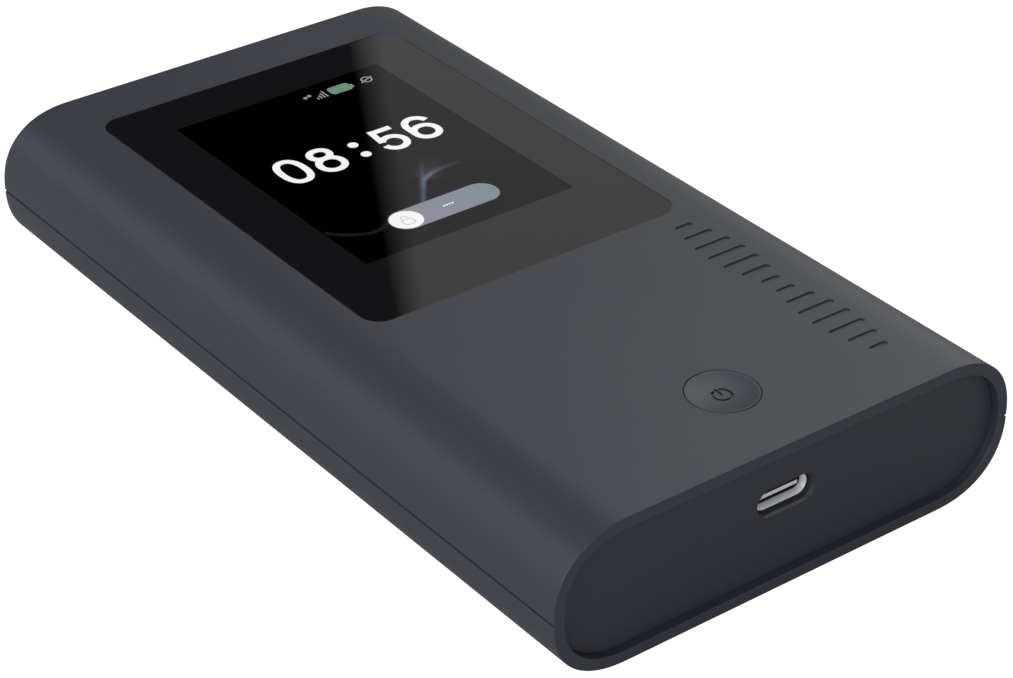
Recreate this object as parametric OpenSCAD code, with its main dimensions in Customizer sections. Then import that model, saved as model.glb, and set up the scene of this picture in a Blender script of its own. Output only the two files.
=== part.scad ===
// Pocket mobile hotspot: a flat oblong handset with bulged sides, a display
// window near the far end, one round power button and a USB-C port.
// Millimetres. The origin is the centre of the footprint on the resting face.
// +X is the reader's right, +Y runs from the USB end to the SIM end, +Z is up.

/* [Body] */
// Overall width, side to side
body_w = 78; // [77:0.5:82]
// Overall length, USB end to SIM end
body_l = 137.8; // [136:0.2:144]
// Overall height
body_h = 22.4; // [22:0.1:24]
// Width of the flat part of the top and of the bottom
flat_w = 53.3; // [52:0.1:56]
// Squareness of the bulged sides: 2 is an ellipse, more is squarer
side_power = 2.34; // [2.2:0.02:2.5]
// Wall thickness of both shells
wall = 1.75; // [1.6:0.05:1.9]
// Height of the parting line between the two shells, above the floor
parting_z = 10.8; // [10.2:0.1:12]
// Height of the groove along the parting line
seam_h = 0.6; // [0.3:0.1:0.8]
// Depth of the groove along the parting line
seam_d = 0.3; // [0.2:0.05:0.5]

/* [End caps] */
// How far each cap face sits behind the rim of the shells
cap_recess = 1.3; // [1:0.1:2.5]
// Thickness of each cap plate
cap_t = 1.6; // [1.4:0.1:1.8]

/* [Display] */
// Width of the cover glass
glass_w = 54.2; // [52:0.1:55]
// Length of the cover glass
glass_l = 73.3; // [72:0.1:75]
// Place of the glass centre along the body
glass_y = 22.8; // [21:0.1:24]
// Corner radius of the cover glass
glass_r = 3.3; // [2:0.1:5]
// Thickness of the cover glass
glass_t = 1.1; // [0.7:0.1:1.1]
// Width of the display module
lcd_w = 42.8; // [41:0.1:44]
// Length of the display module
lcd_l = 61.5; // [60:0.1:62]
// Place of the display module centre along the body
lcd_y = 22.4; // [22:0.1:23]

/* [Power button] */
// Radius of the button cap
button_r = 5.1; // [4.5:0.1:5.5]
// Place of the button along the body
button_y = -54.4; // [-55:0.1:-50]
// Gap round the button cap
button_gap = 0.16; // [0.1:0.02:0.3]
// Depth of the dish in the button cap
dish_depth = 0.55; // [0.2:0.05:0.7]
// Travel of the button
button_travel = 0.4; // [0.2:0.05:0.5]

/* [Ports] */
// Height of the centre of the USB-C port
usb_z = 13.2; // [13:0.01:13.8]
// Sideways place of the SIM tray
sim_x = -11; // [-12:0.5:-9]
// Sideways place of the reset pinhole
reset_x = 11; // [8:0.5:14]

/* [Battery] */
// Width of the pouch cell
battery_w = 56; // [40:1:57]
// Length of the pouch cell
battery_l = 90; // [60:1:90]
// Thickness of the pouch cell
battery_t = 8.2; // [6:0.1:8.4]

/* [Hidden] */

$fn = 64;
eps = 0.01;        // overshoot that keeps cuts clean
half_l = body_l / 2;
mid_z = body_h / 2;
ceiling_z = body_h - wall;
flat_x = flat_w / 2;
side_steps = 30;   // strips in each bulged side

// parting line: a lip on the lower shell stands in a rebate of the upper one
lip_out = 1;       // inset of the lip's outer face
lip_h = 0.9;
lip_gap = 0.05;

// end caps: a plate with a thin flange that sits in a groove of both shells
cap_outer_y = half_l - cap_recess;
cap_inner_y = cap_outer_y - cap_t;
cap_gap = 0.05;
flange_inset = 1.3;
flange_t = 0.8;
flange_y = (cap_outer_y + cap_inner_y) / 2;

// case screws, all at the same distance from the middle line
screw_x = 23.5;
screw_front_y = -60.5;
screw_rear_y = 61;
screw_r = 0.98;
screw_core_r = 1;
screw_clear_r = 1.2;
screw_head_r = 2;
screw_head_h = 1.5;
screw_seat_z = 3;
screw_tip_z = 17;
plug_r = 2.5;
plug_bore_r = 2.6;
plug_t = 0.95;
boss_top_r = 3;
boss_low_r = 3.7;

// main board, on which the USB-C receptacle is surface mounted
usb_w = 8.94;
usb_h = 3.26;
usb_wall = 0.3;
usb_len = 7.35;
usb_setback = 0.6;      // from the cap face to the mouth of the receptacle
usb_front_y = -cap_outer_y + usb_setback;
usb_rear_y = usb_front_y + usb_len;
usb_mouth_gap = 0.15;
tongue_w = 6.69;
tongue_t = 0.7;
tongue_back = 0.75;     // from the mouth to the tip of the tongue
base_len = 2.5;
contact_t = 0.04;
contact_w = 0.25;
contact_len = 2.6;
contact_pitch = 0.5;
contact_count = 12;
board_w = 66;
board_t = 1;
board_top = usb_z - usb_h / 2;
board_low = board_top - board_t;
board_edge_y = cap_inner_y - 0.5;

// cover glass and the ledge that carries it
glass_gap = 0.1;
tape_t = 0.15;
ledge_z = body_h - glass_t - tape_t;
tape_inset = 0.3;
window_gap = 0.3;       // round the display tray

// display module, from the glass down
film_t = 0.2;
panel_t = 1.5;
front_plate_t = 0.8;
terrace_l = 4;          // bare strip of the rear plate at the flex end
tray_t = 0.2;
backlight_t = 1.5;
panel_top = body_h - glass_t - film_t;
panel_low = panel_top - panel_t;
tray_low = panel_low - backlight_t - tray_t;
lcd_end_y = lcd_y - lcd_l / 2;
window_w = lcd_w + 2 * tray_t + 2 * window_gap;
window_l = lcd_l + 2 * tray_t + 2 * window_gap;

// ribbon from the rear plate of the panel down to the board
flex_w = 12;
flex_t = 0.2;
flex_z = panel_low + 0.35;
flex_drop_y = lcd_end_y - 2.2;
flex_bend = 1;
flex_low_z = board_top + 0.65;
flex_end_y = flex_drop_y - 4.2;
connector_y = flex_drop_y - 4.5;
connector_h = 1.2;
connector_l = 3;

// frame under the display
frame_t = 1.5;
frame_top = tray_low;
frame_low = frame_top - frame_t;
frame_w = 56;
frame_y0 = lcd_end_y - 4.6;
frame_y1 = 57;
frame_screw_x = 24.6;
frame_screw_y0 = lcd_end_y - 2;
frame_screw_y1 = 54.6;
frame_boss_r = 2.1;
frame_core_r = 0.6;
frame_screw_r = 0.58;
frame_clear_r = 0.75;
frame_head_r = 1.3;
frame_head_h = 0.9;
spreader_t = 0.6;
spreader_low = frame_low - spreader_t;

// cans on the board: [x, y, width, length]
shield_h = 2.2;
shield_wall = 0.2;
modem_can = [-8.5, 22, 26, 24];
radio_can = [14.5, 22, 14, 24];
wifi_can = [-12, -30, 22, 16];
chip_h = 1.1;
chip_share = 0.5;       // of the can's width

// power button
collar_r = button_r + 1.3;
collar_t = 1;
collar_h = 2.2;
flange_r = button_r + 0.9;
flange_top = ceiling_z - 0.05;
flange_h = 1.1;
stem_r = 1.6;
switch_size = 6;
switch_h = 3.5;
switch_top = board_top + switch_h;
plunger_r = 1.75;
plunger_bore_r = 1.85;
plunger_up = 1;
plunger_in = 0.5;
bore_depth = plunger_in + button_travel + 0.2;
stem_low = switch_top + plunger_up;
dish_rim = 0.35;        // flat land round the dish
dish_r = button_r - dish_rim;
dish_sphere_r = (dish_r * dish_r + dish_depth * dish_depth) / (2 * dish_depth);
icon_r = 1.35;
icon_line = 0.34;
icon_depth = 0.14;
icon_bar = 1.3;
icon_gap_w = 1.3;

// row of sunken strokes beside the button
stroke_x = 24;
stroke_y0 = -58.4;
stroke_y1 = -18.2;
stroke_count = 14;
stroke_w = 0.8;
stroke_depth = 0.25;
stroke_min = 2;
stroke_max = 6.6;

// SIM tray and its socket
tray_z = board_top + 0.85;
sim_w = 8.8;
sim_l = 12.3;
sim_t = 0.67;
sim_play = 0.1;
sim_tray_w = 15;
sim_tray_t = 1;
sim_tray_l = 16.7;
sim_face_w = 16.4;
sim_face_h = 2.6;
sim_face_t = 1.2;
sim_clear = 0.15;
sim_floor = 0.3;
sim_corner = 0.2;
sim_card_y = cap_inner_y - 9.4;
socket_w = 16.6;
socket_l = 16.5;
socket_h = 1.7;
socket_sheet = 0.2;
pin_r = 0.5;

// reset switch behind its pinhole
reset_z = board_top + 0.9;
reset_w = 5;
reset_l = 3.4;
reset_h = 1.8;
reset_face_y = cap_inner_y - 1.7;
reset_pin_w = 1.6;
reset_pin_h = 0.9;
reset_pin_l = 2.2;
reset_pin_in = 1;
reset_slot_gap = 0.1;
reset_slot_depth = 1.6;

// battery, its pad, protection board, plug and leads
pad_t = 0.3;
battery_y = 1;
battery_low = wall + pad_t;
battery_r = 2;
battery_front_y = battery_y - battery_l / 2;
flap_z = battery_low + 3;
flap_l = 6;
flap_t = 0.3;
cell_board_w = 40;
cell_board_l = 5;
cell_board_t = 1.2;
cell_board_y = battery_front_y - 3;
cell_board_top = flap_z + flap_t + cell_board_t;
socket_x = 8;
socket_y0 = -58;
socket_y1 = -54;
socket_t = 1.8;
socket_skin = 0.3;
plug_w = 6.4;
plug_gap = 0.05;
plug_end_y = -52.5;
plug_z = board_low - socket_t / 2;
lead_d = 1.2;
lead_sides = 8;
lead_rings = 8;
// control points of the right-hand lead; the other one is its mirror image
lead_route = [
    [1.2, plug_end_y, plug_z],
    [1.2, plug_end_y + 4, plug_z],
    [4, cell_board_y, plug_z - 0.6],
    [4, cell_board_y, cell_board_top]
];

// antennas
carrier_x = 31.6;
carrier_t = 1.6;
carrier_h = 5.2;
carrier_l = 74;
carrier_y = 2;
foil_t = 0.15;
foil_h = 4;
wifi_foil_x = 15;
wifi_foil_y = -36;
wifi_foil_w = 8;
wifi_foil_l = 22;
spring_x = 30;
spring_w = 1.4;
spring_t = 0.15;
spring_h = 1.7;
spring_y = [-24, 26];

// blank label in a shallow recess of the resting face
label_w = 40;
label_l = 58;
label_r = 2;
label_depth = 0.2;
label_t = 0.12;

// ---- helpers ------------------------------------------------------------

// one point of a bulged side, by angle from the middle height
function side_point(inset, angle) = [
    flat_x + (body_w / 2 - flat_x - inset) * pow(abs(cos(angle)), 2 / side_power),
    sign(angle) * (mid_z - inset) * pow(abs(sin(angle)), 2 / side_power)
];

function side_points(inset) = [
    for (i = [0 : side_steps]) side_point(inset, -90 + 180 * i / side_steps)
];

function mirrored(points) = [
    for (i = [len(points) - 1 : -1 : 0]) [-points[i].x, points[i].y]
];

// cross-section of the body, moved inwards by inset
module section(inset) {
    right = side_points(inset);
    translate([0, mid_z]) polygon(concat(right, mirrored(right)));
}

// stands a drawing of X and Z up and pushes it from y0 to y1
module along_y(y0, y1) {
    translate([0, y1, 0]) rotate([90, 0, 0]) linear_extrude(y1 - y0) children();
}

// stands a drawing of Y and Z up and pushes it from x0 to x1
module along_x(x0, x1) {
    translate([x0, 0, 0]) rotate([90, 0, 90]) linear_extrude(x1 - x0) children();
}

module rounded_rect(w, l, r) {
    square([w - 2 * r, l], center = true);
    square([w, l - 2 * r], center = true);
    for (x = [-1, 1], y = [-1, 1]) {
        translate([x * (w / 2 - r), y * (l / 2 - r)]) circle(r);
    }
}

module slab(w, l, r, z0, z1) {
    translate([0, 0, z0]) linear_extrude(z1 - z0) rounded_rect(w, l, r);
}

module box(x0, x1, y0, y1, z0, z1) {
    translate([x0, y0, z0]) cube([x1 - x0, y1 - y0, z1 - z0]);
}

module rod(r, z0, z1) {
    translate([0, 0, z0]) cylinder(r = r, h = z1 - z0);
}

// slot with round ends, drawn along X
module stadium(w, h) {
    square([w - h, h], center = true);
    for (x = [-1, 1]) {
        translate([x * (w - h) / 2, 0]) circle(h / 2);
    }
}

module at_case_screws() {
    for (x = [-1, 1], y = [screw_front_y, screw_rear_y]) {
        translate([x * screw_x, y, 0]) children();
    }
}

module at_frame_screws() {
    for (x = [-1, 1], y = [frame_screw_y0, frame_screw_y1]) {
        translate([x * frame_screw_x, y, 0]) children();
    }
}

// everything between two heights, over the whole footprint
module between(z0, z1) {
    box(-body_w, body_w, -body_l, body_l, z0, z1);
}

// strip of even thickness along a line of points
function step_of(points, i) = points[min(i + 1, len(points) - 1)] - points[max(i - 1, 0)];
function side_of(points, i, t) = let (d = step_of(points, i))
    points[i] + [-d.y, d.x] / norm(d) * t;
module ribbon(points, t) {
    last = len(points) - 1;
    near = [for (i = [0 : last]) side_of(points, i, t / 2)];
    far = [for (i = [last : -1 : 0]) side_of(points, i, -t / 2)];
    polygon(concat(near, far));
}
function arc_points(c, r, a0, a1, n) = [
    for (i = [0 : n]) let (a = a0 + (a1 - a0) * i / n) c + r * [cos(a), sin(a)]
];

// point and direction of a cubic curve with four control points
function curve_at(p, t) = pow(1 - t, 3) * p[0] + 3 * t * pow(1 - t, 2) * p[1]
    + 3 * t * t * (1 - t) * p[2] + pow(t, 3) * p[3];
function curve_dir(p, t) = let (d = pow(1 - t, 2) * (p[1] - p[0])
    + 2 * t * (1 - t) * (p[2] - p[1]) + t * t * (p[3] - p[2])) d / norm(d);

// round lead along a cubic curve that runs mostly in the YZ plane
module lead(route) {
    rings = [for (i = [0 : lead_rings]) let (
        t = i / lead_rings,
        d = curve_dir(route, t),
        u = cross(d, [1, 0, 0]) / norm(cross(d, [1, 0, 0])),
        v = cross(d, u)
    ) [for (k = [0 : lead_sides - 1]) let (a = 360 * k / lead_sides)
        curve_at(route, t) + lead_d / 2 * (cos(a) * u + sin(a) * v)]];
    points = [for (ring = rings) for (p = ring) p];
    sides = [for (i = [0 : lead_rings - 1], k = [0 : lead_sides - 1]) let (
        n = (k + 1) % lead_sides, low = i * lead_sides, up = low + lead_sides
    ) [low + k, up + k, up + n, low + n]];
    start = [for (k = [0 : lead_sides - 1]) k];
    end = [for (k = [lead_sides - 1 : -1 : 0]) lead_rings * lead_sides + k];
    polyhedron(points, concat([start, end], sides));
}

// ---- enclosure ----------------------------------------------------------

// plain tube of the body's section, before it is cut for the caps
module shell_tube() {
    along_y(-half_l, half_l) difference() {
        section(0);
        section(wall);
    }
}

module seam_groove() {
    intersection() {
        between(parting_z - seam_h / 2, parting_z + seam_h / 2);
        along_y(-half_l - 1, half_l + 1) difference() {
            section(-1);
            section(seam_d);
        }
    }
}

module cap_grooves() {
    for (end = [-1, 1]) {
        y = end * flange_y;
        along_y(y - flange_t / 2 - cap_gap, y + flange_t / 2 + cap_gap) {
            section(flange_inset - cap_gap);
        }
    }
}

module strokes() {
    for (i = [0 : stroke_count - 1]) {
        y = stroke_y0 + (stroke_y1 - stroke_y0) * i / (stroke_count - 1);
        swell = abs(sin(360 * (i + 0.5) / stroke_count));
        length = stroke_min + (stroke_max - stroke_min) * swell;
        translate([stroke_x, y, body_h - stroke_depth]) {
            linear_extrude(1) stadium(length, stroke_w);
        }
    }
}

module top_shell() {
    color([0.32, 0.33, 0.35]) difference() {
        union() {
            intersection() {
                shell_tube();
                between(parting_z, body_h + 1);
            }
            at_case_screws() rod(boss_top_r, board_top, ceiling_z + wall / 2);
            at_frame_screws() rod(frame_boss_r, frame_top, ceiling_z + eps);
            translate([0, button_y, 0]) difference() {
                rod(collar_r + collar_t, ceiling_z - collar_h, ceiling_z + eps);
                rod(collar_r, ceiling_z - collar_h - 1, ceiling_z + 1);
            }
        }
        translate([0, glass_y, 0]) {
            slab(glass_w + 2 * glass_gap, glass_l + 2 * glass_gap, glass_r + glass_gap,
                ledge_z, body_h + 1);
        }
        translate([0, lcd_y, 0]) slab(window_w, window_l, 0.8, frame_top - 1, body_h);
        translate([0, button_y, 0]) rod(button_r + button_gap, frame_top, body_h + 1);
        at_case_screws() rod(screw_core_r, board_top - 1, screw_tip_z + 0.5);
        at_frame_screws() rod(frame_core_r, frame_top - 1, ceiling_z - 0.2);
        intersection() {
            between(parting_z - 1, parting_z + lip_h + lip_gap);
            along_y(-half_l - 1, half_l + 1) section(lip_out - lip_gap);
        }
        seam_groove();
        cap_grooves();
        strokes();
    }
}

module bottom_shell() {
    color([0.3, 0.31, 0.33]) difference() {
        union() {
            intersection() {
                shell_tube();
                between(-1, parting_z);
            }
            intersection() {
                between(parting_z - 1, parting_z + lip_h);
                along_y(-half_l, half_l) difference() {
                    section(lip_out);
                    section(wall);
                }
            }
            at_case_screws() rod(boss_low_r, wall / 2, board_low);
            battery_ribs();
        }
        at_case_screws() rod(plug_bore_r, -1, screw_seat_z);
        at_case_screws() rod(screw_clear_r, 0, board_low + 1);
        slab(label_w, label_l, label_r, -1, label_depth);
        seam_groove();
        cap_grooves();
    }
}

// low walls that stop the pouch from sliding
module battery_ribs() {
    rib_t = 1.2;
    rib_h = 3;
    rib_x = 24;
    rear_y = battery_y + battery_l / 2 + 0.6;
    front_y = battery_front_y - flap_l - 0.6;
    box(-rib_x, rib_x, rear_y, rear_y + rib_t, wall - eps, wall + rib_h);
    box(-rib_x, rib_x, front_y - rib_t, front_y, wall - eps, wall + rib_h);
}

// cap of the USB end; the other cap is turned round to the SIM end
module cap_body(end) {
    outer = end * cap_outer_y;
    inner = end * cap_inner_y;
    along_y(min(outer, inner), max(outer, inner)) section(wall + cap_gap);
    along_y(end * flange_y - flange_t / 2, end * flange_y + flange_t / 2) {
        section(flange_inset);
    }
}

module front_cap() {
    chamfer = 0.45;
    color([0.18, 0.18, 0.2]) difference() {
        cap_body(-1);
        along_y(-cap_outer_y - 1, -cap_inner_y + 1) translate([0, usb_z]) {
            stadium(usb_w + 2 * usb_mouth_gap, usb_h + 2 * usb_mouth_gap);
        }
        along_y(-cap_outer_y - 1, -cap_outer_y + chamfer) translate([0, usb_z]) {
            stadium(usb_w + 2 * usb_mouth_gap + 2 * chamfer,
                usb_h + 2 * usb_mouth_gap + 2 * chamfer);
        }
    }
}

module rear_cap() {
    color([0.18, 0.18, 0.2]) difference() {
        cap_body(1);
        translate([sim_x, 0, tray_z]) {
            along_y(cap_inner_y - 1, cap_outer_y + 1) {
                square([sim_tray_w + 2 * sim_clear, sim_tray_t + 2 * sim_clear], center = true);
            }
            along_y(cap_outer_y - sim_face_t - sim_clear, cap_outer_y + 1) {
                rounded_rect(sim_face_w + 2 * sim_clear, sim_face_h + 2 * sim_clear, 0.8);
            }
        }
        translate([reset_x, cap_outer_y + 1, reset_z]) rotate([90, 0, 0]) {
            cylinder(r = pin_r + 0.1, h = cap_t + 2);
        }
    }
}

module rating_label() {
    color([0.12, 0.12, 0.13]) {
        slab(label_w - 0.4, label_l - 0.4, label_r - 0.2, label_depth - label_t, label_depth);
    }
}

module case_screws() {
    color([0.62, 0.63, 0.65]) at_case_screws() difference() {
        union() {
            rod(screw_r, screw_seat_z - eps, screw_tip_z);
            rod(screw_head_r, screw_seat_z - screw_head_h, screw_seat_z);
        }
        cross_recess(screw_seat_z - screw_head_h, 2.2, 0.8);
    }
}

// cross-head recess cut upwards from z
module cross_recess(z, size, depth) {
    slot = 0.45;
    box(-size / 2, size / 2, -slot / 2, slot / 2, z - 1, z + depth);
    box(-slot / 2, slot / 2, -size / 2, size / 2, z - 1, z + depth);
}

module screw_plugs() {
    color([0.1, 0.1, 0.11]) at_case_screws() rod(plug_r, 0.05, 0.05 + plug_t);
}

// ---- display ------------------------------------------------------------

module cover_glass() {
    color([0.05, 0.05, 0.06]) translate([0, glass_y, 0]) {
        slab(glass_w, glass_l, glass_r, body_h - glass_t, body_h);
    }
}

module glass_adhesive() {
    color([0.1, 0.1, 0.1]) difference() {
        translate([0, glass_y, 0]) {
            slab(glass_w - 2 * tape_inset, glass_l - 2 * tape_inset, glass_r - tape_inset,
                ledge_z, ledge_z + tape_t);
        }
        translate([0, lcd_y, 0]) {
            slab(window_w + 2 * tape_inset, window_l + 2 * tape_inset, 1, ledge_z - 1, body_h);
        }
    }
}

module optical_adhesive() {
    color([0.75, 0.8, 0.85, 0.6]) translate([0, lcd_y + terrace_l / 2, 0]) {
        slab(lcd_w - 1, lcd_l - terrace_l - 1, 0.5, panel_top, panel_top + film_t);
    }
}

module lcd_panel() {
    rear_top = panel_top - front_plate_t;
    y1 = lcd_end_y + lcd_l;
    color([0.12, 0.13, 0.16]) {
        box(-lcd_w / 2, lcd_w / 2, lcd_end_y, y1, panel_low, rear_top);
        box(-lcd_w / 2, lcd_w / 2, lcd_end_y + terrace_l, y1, rear_top - eps, panel_top);
    }
}

module lcd_backlight() {
    play = 0.1;
    color([0.92, 0.93, 0.95]) translate([0, lcd_y, 0]) {
        slab(lcd_w - play, lcd_l - play, 0.4, tray_low + tray_t, panel_low);
    }
}

module lcd_tray() {
    color([0.7, 0.71, 0.73]) translate([0, lcd_y, 0]) difference() {
        slab(lcd_w + 2 * tray_t, lcd_l + 2 * tray_t, 0.6, tray_low, panel_low);
        slab(lcd_w, lcd_l, 0.4, tray_low + tray_t, body_h);
    }
}

module lcd_flex() {
    up = flex_z - flex_bend;
    down = flex_low_z + flex_bend;
    path = concat(
        [[lcd_end_y, flex_z]],
        arc_points([flex_drop_y + flex_bend, up], flex_bend, 90, 180, 6),
        arc_points([flex_drop_y - flex_bend, down], flex_bend, 0, -90, 6),
        [[flex_end_y - 0.8, flex_low_z]]
    );
    color([0.75, 0.5, 0.15]) along_x(-flex_w / 2, flex_w / 2) ribbon(path, flex_t);
}

module lcd_connector() {
    slot_gap = 0.05;
    color([0.85, 0.82, 0.74]) difference() {
        box(-flex_w / 2 - 1, flex_w / 2 + 1, connector_y - connector_l, connector_y,
            board_top, board_top + connector_h);
        box(-flex_w / 2 - slot_gap, flex_w / 2 + slot_gap, connector_y - 1.5, connector_y + 1,
            flex_low_z - flex_t / 2 - slot_gap, flex_low_z + flex_t / 2 + slot_gap);
    }
}

module mid_frame() {
    notch_w = flex_w + 3;
    color([0.2, 0.21, 0.23]) difference() {
        translate([0, (frame_y0 + frame_y1) / 2, 0]) {
            slab(frame_w, frame_y1 - frame_y0, 3, frame_low, frame_top);
        }
        box(-notch_w / 2, notch_w / 2, frame_y0 - 1, lcd_end_y, frame_low - 1, frame_top + 1);
        at_frame_screws() rod(frame_clear_r, frame_low - 1, frame_top + 1);
    }
}

module frame_screws() {
    low = frame_low - frame_head_h;
    color([0.62, 0.63, 0.65]) at_frame_screws() difference() {
        union() {
            rod(frame_screw_r, frame_low - eps, ceiling_z - 0.4);
            rod(frame_head_r, low, frame_low);
        }
        cross_recess(low, 1.5, 0.5);
    }
}

module heat_spreader() {
    color([0.78, 0.79, 0.8]) translate([0, 23, 0]) {
        slab(45, 56, 2, spreader_low, frame_low);
    }
}

module pad_on(can) {
    border = 4;
    translate([can[0], can[1], 0]) {
        slab(can[2] - border, can[3] - border, 0.5, board_top + shield_h, spreader_low);
    }
}

module thermal_pads() {
    color([0.55, 0.62, 0.72]) {
        pad_on(modem_can);
        pad_on(radio_can);
    }
}

// ---- electronics --------------------------------------------------------

// thin can with an open underside
module shield(can) {
    translate([can[0], can[1], 0]) difference() {
        slab(can[2], can[3], 0.6, board_top, board_top + shield_h);
        slab(can[2] - 2 * shield_wall, can[3] - 2 * shield_wall, 0.4,
            board_top - 1, board_top + shield_h - shield_wall);
    }
}

module chip_in(can) {
    size = can[2] * chip_share;
    translate([can[0], can[1], board_top + chip_h / 2]) {
        cube([size, size, chip_h], center = true);
    }
}

module board_chips() {
    color([0.08, 0.08, 0.09]) {
        chip_in(modem_can);
        chip_in(radio_can);
        chip_in(wifi_can);
    }
}

module main_board() {
    color([0.07, 0.3, 0.2]) difference() {
        slab(board_w, 2 * board_edge_y, 2, board_low, board_top);
        at_case_screws() rod(screw_clear_r, board_low - 1, board_top + 1);
    }
}

module usb_shell() {
    color([0.75, 0.76, 0.78]) along_y(usb_front_y, usb_rear_y) translate([0, usb_z]) {
        difference() {
            stadium(usb_w, usb_h);
            stadium(usb_w - 2 * usb_wall, usb_h - 2 * usb_wall);
        }
    }
}

module usb_tongue() {
    tip_y = usb_front_y + tongue_back;
    base_y = usb_rear_y - base_len;
    play = 0.02;
    color([0.2, 0.2, 0.22]) {
        along_y(tip_y, base_y + eps) translate([0, usb_z]) {
            square([tongue_w, tongue_t], center = true);
        }
        along_y(base_y, usb_rear_y) translate([0, usb_z]) {
            stadium(usb_w - 2 * usb_wall - 2 * play, usb_h - 2 * usb_wall - 2 * play);
        }
    }
}

module usb_contacts() {
    y0 = usb_front_y + tongue_back + 0.5;
    color([0.85, 0.68, 0.3]) {
        for (i = [0 : contact_count - 1], side = [-1, 1]) {
            x = (i - (contact_count - 1) / 2) * contact_pitch;
            translate([x, y0 + contact_len / 2, usb_z + side * (tongue_t + contact_t) / 2]) {
                cube([contact_w, contact_len, contact_t], center = true);
            }
        }
    }
}

// ring with a gap at its far side, crossed by a short bar
module power_icon() {
    difference() {
        circle(icon_r + icon_line / 2);
        circle(icon_r - icon_line / 2);
        translate([0, icon_r]) square([icon_gap_w, icon_r], center = true);
    }
    translate([0, icon_r - icon_bar / 2 + 0.1]) square([icon_line, icon_bar], center = true);
}

module power_button() {
    dish_low = body_h - dish_depth;
    color([0.33, 0.34, 0.36]) translate([0, button_y, 0]) difference() {
        union() {
            rod(button_r, flange_top - eps, body_h);
            rod(flange_r, flange_top - flange_h, flange_top);
            rod(stem_r, stem_low, flange_top - flange_h + eps);
        }
        translate([0, 0, dish_low + dish_sphere_r]) sphere(dish_sphere_r, $fn = 96);
        translate([0, 0, dish_low - icon_depth]) linear_extrude(1) power_icon();
    }
}

module switch_plunger() {
    color([0.1, 0.1, 0.11]) translate([0, button_y, 0]) {
        rod(plunger_r, switch_top - plunger_in, stem_low);
    }
}

module switch_body() {
    leg = 0.9;
    leg_w = 0.7;
    color([0.25, 0.25, 0.27]) translate([0, button_y, 0]) difference() {
        union() {
            slab(switch_size, switch_size, 0.5, board_top, switch_top);
            for (y = [-1, 1]) {
                box(-switch_size / 2 - leg, switch_size / 2 + leg,
                    y * 2.25 - leg_w / 2, y * 2.25 + leg_w / 2, board_top, board_top + 0.25);
            }
        }
        rod(plunger_bore_r, switch_top - bore_depth, switch_top + 1);
    }
}

module reset_switch() {
    color([0.72, 0.72, 0.7]) difference() {
        box(reset_x - reset_w / 2, reset_x + reset_w / 2,
            reset_face_y - reset_l, reset_face_y, board_top, board_top + reset_h);
        translate([reset_x, 0, reset_z]) {
            along_y(reset_face_y - reset_slot_depth, reset_face_y + 1) {
                square([reset_pin_w, reset_pin_h] + 2 * reset_slot_gap * [1, 1], center = true);
            }
        }
    }
}

module reset_plunger() {
    y0 = reset_face_y - reset_pin_in;
    color([0.9, 0.9, 0.88]) translate([reset_x, 0, reset_z]) {
        along_y(y0, y0 + reset_pin_l) {
            square([reset_pin_w, reset_pin_h], center = true);
        }
    }
}

module sim_socket() {
    y1 = cap_inner_y - 1;
    y0 = y1 - socket_l;
    x0 = sim_x - socket_w / 2;
    x1 = sim_x + socket_w / 2;
    z1 = board_top + socket_h;
    color([0.74, 0.75, 0.76]) difference() {
        box(x0, x1, y0, y1, board_top, z1);
        box(x0 + 0.6, x1 - 0.6, y0 + 0.6, y1 + 1,
            board_top + socket_sheet, z1 - socket_sheet);
        box(x0 + 3, x1 - 3, y0 + 3, y1 - 3, z1 - 1, z1 + 1);
    }
}

module sim_tray() {
    y0 = cap_inner_y - sim_tray_l;
    top = tray_z + sim_tray_t / 2;
    low = tray_z - sim_tray_t / 2;
    color([0.2, 0.2, 0.22]) difference() {
        union() {
            box(sim_x - sim_tray_w / 2, sim_x + sim_tray_w / 2,
                y0, cap_outer_y - sim_face_t + eps, low, top);
            translate([sim_x, 0, tray_z]) along_y(cap_outer_y - sim_face_t, cap_outer_y) {
                rounded_rect(sim_face_w, sim_face_h, 0.65);
            }
        }
        translate([sim_x, sim_card_y, 0]) {
            slab(sim_w + 2 * sim_play, sim_l + 2 * sim_play, sim_corner,
                low + sim_floor, top + 1);
            slab(sim_w - 2, sim_l - 2, sim_corner, low - 1, top + 1);
        }
        translate([sim_x + sim_tray_w / 2 - 1.6, cap_outer_y + 1, tray_z]) rotate([90, 0, 0]) {
            cylinder(r = pin_r, h = 2.5);
        }
    }
}

module sim_card() {
    low = tray_z - sim_tray_t / 2 + sim_floor;
    key = 1.6;     // cut corner that fixes which way round the card goes in
    w = sim_w / 2;
    l = sim_l / 2;
    color([0.93, 0.93, 0.9]) translate([sim_x, sim_card_y, low]) linear_extrude(sim_t) {
        polygon([[-w, -l], [w, -l], [w, l - key], [w - key, l], [-w, l]]);
    }
}

// ---- battery ------------------------------------------------------------

module battery_pad() {
    color([0.25, 0.25, 0.25]) translate([0, battery_y, 0]) {
        difference() {
            slab(46, battery_l - 8, 2, wall, wall + pad_t);
            slab(30, battery_l - 24, 2, wall - 1, wall + 1);
        }
    }
}

module battery_pouch() {
    y1 = battery_y + battery_l / 2;
    top = battery_low + battery_t;
    color([0.72, 0.73, 0.76]) {
        along_y(battery_front_y, y1) translate([0, (battery_low + top) / 2]) {
            rounded_rect(battery_w, battery_t, battery_r);
        }
        box(-battery_w / 2 + battery_r, battery_w / 2 - battery_r,
            battery_front_y - flap_l, battery_front_y + eps, flap_z, flap_z + flap_t);
    }
}

module battery_board() {
    color([0.1, 0.35, 0.18]) {
        box(-cell_board_w / 2, cell_board_w / 2,
            cell_board_y - cell_board_l / 2, cell_board_y + cell_board_l / 2,
            flap_z + flap_t, cell_board_top);
    }
}

module battery_lead_positive() {
    color([0.75, 0.08, 0.06]) lead(lead_route);
}

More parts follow.
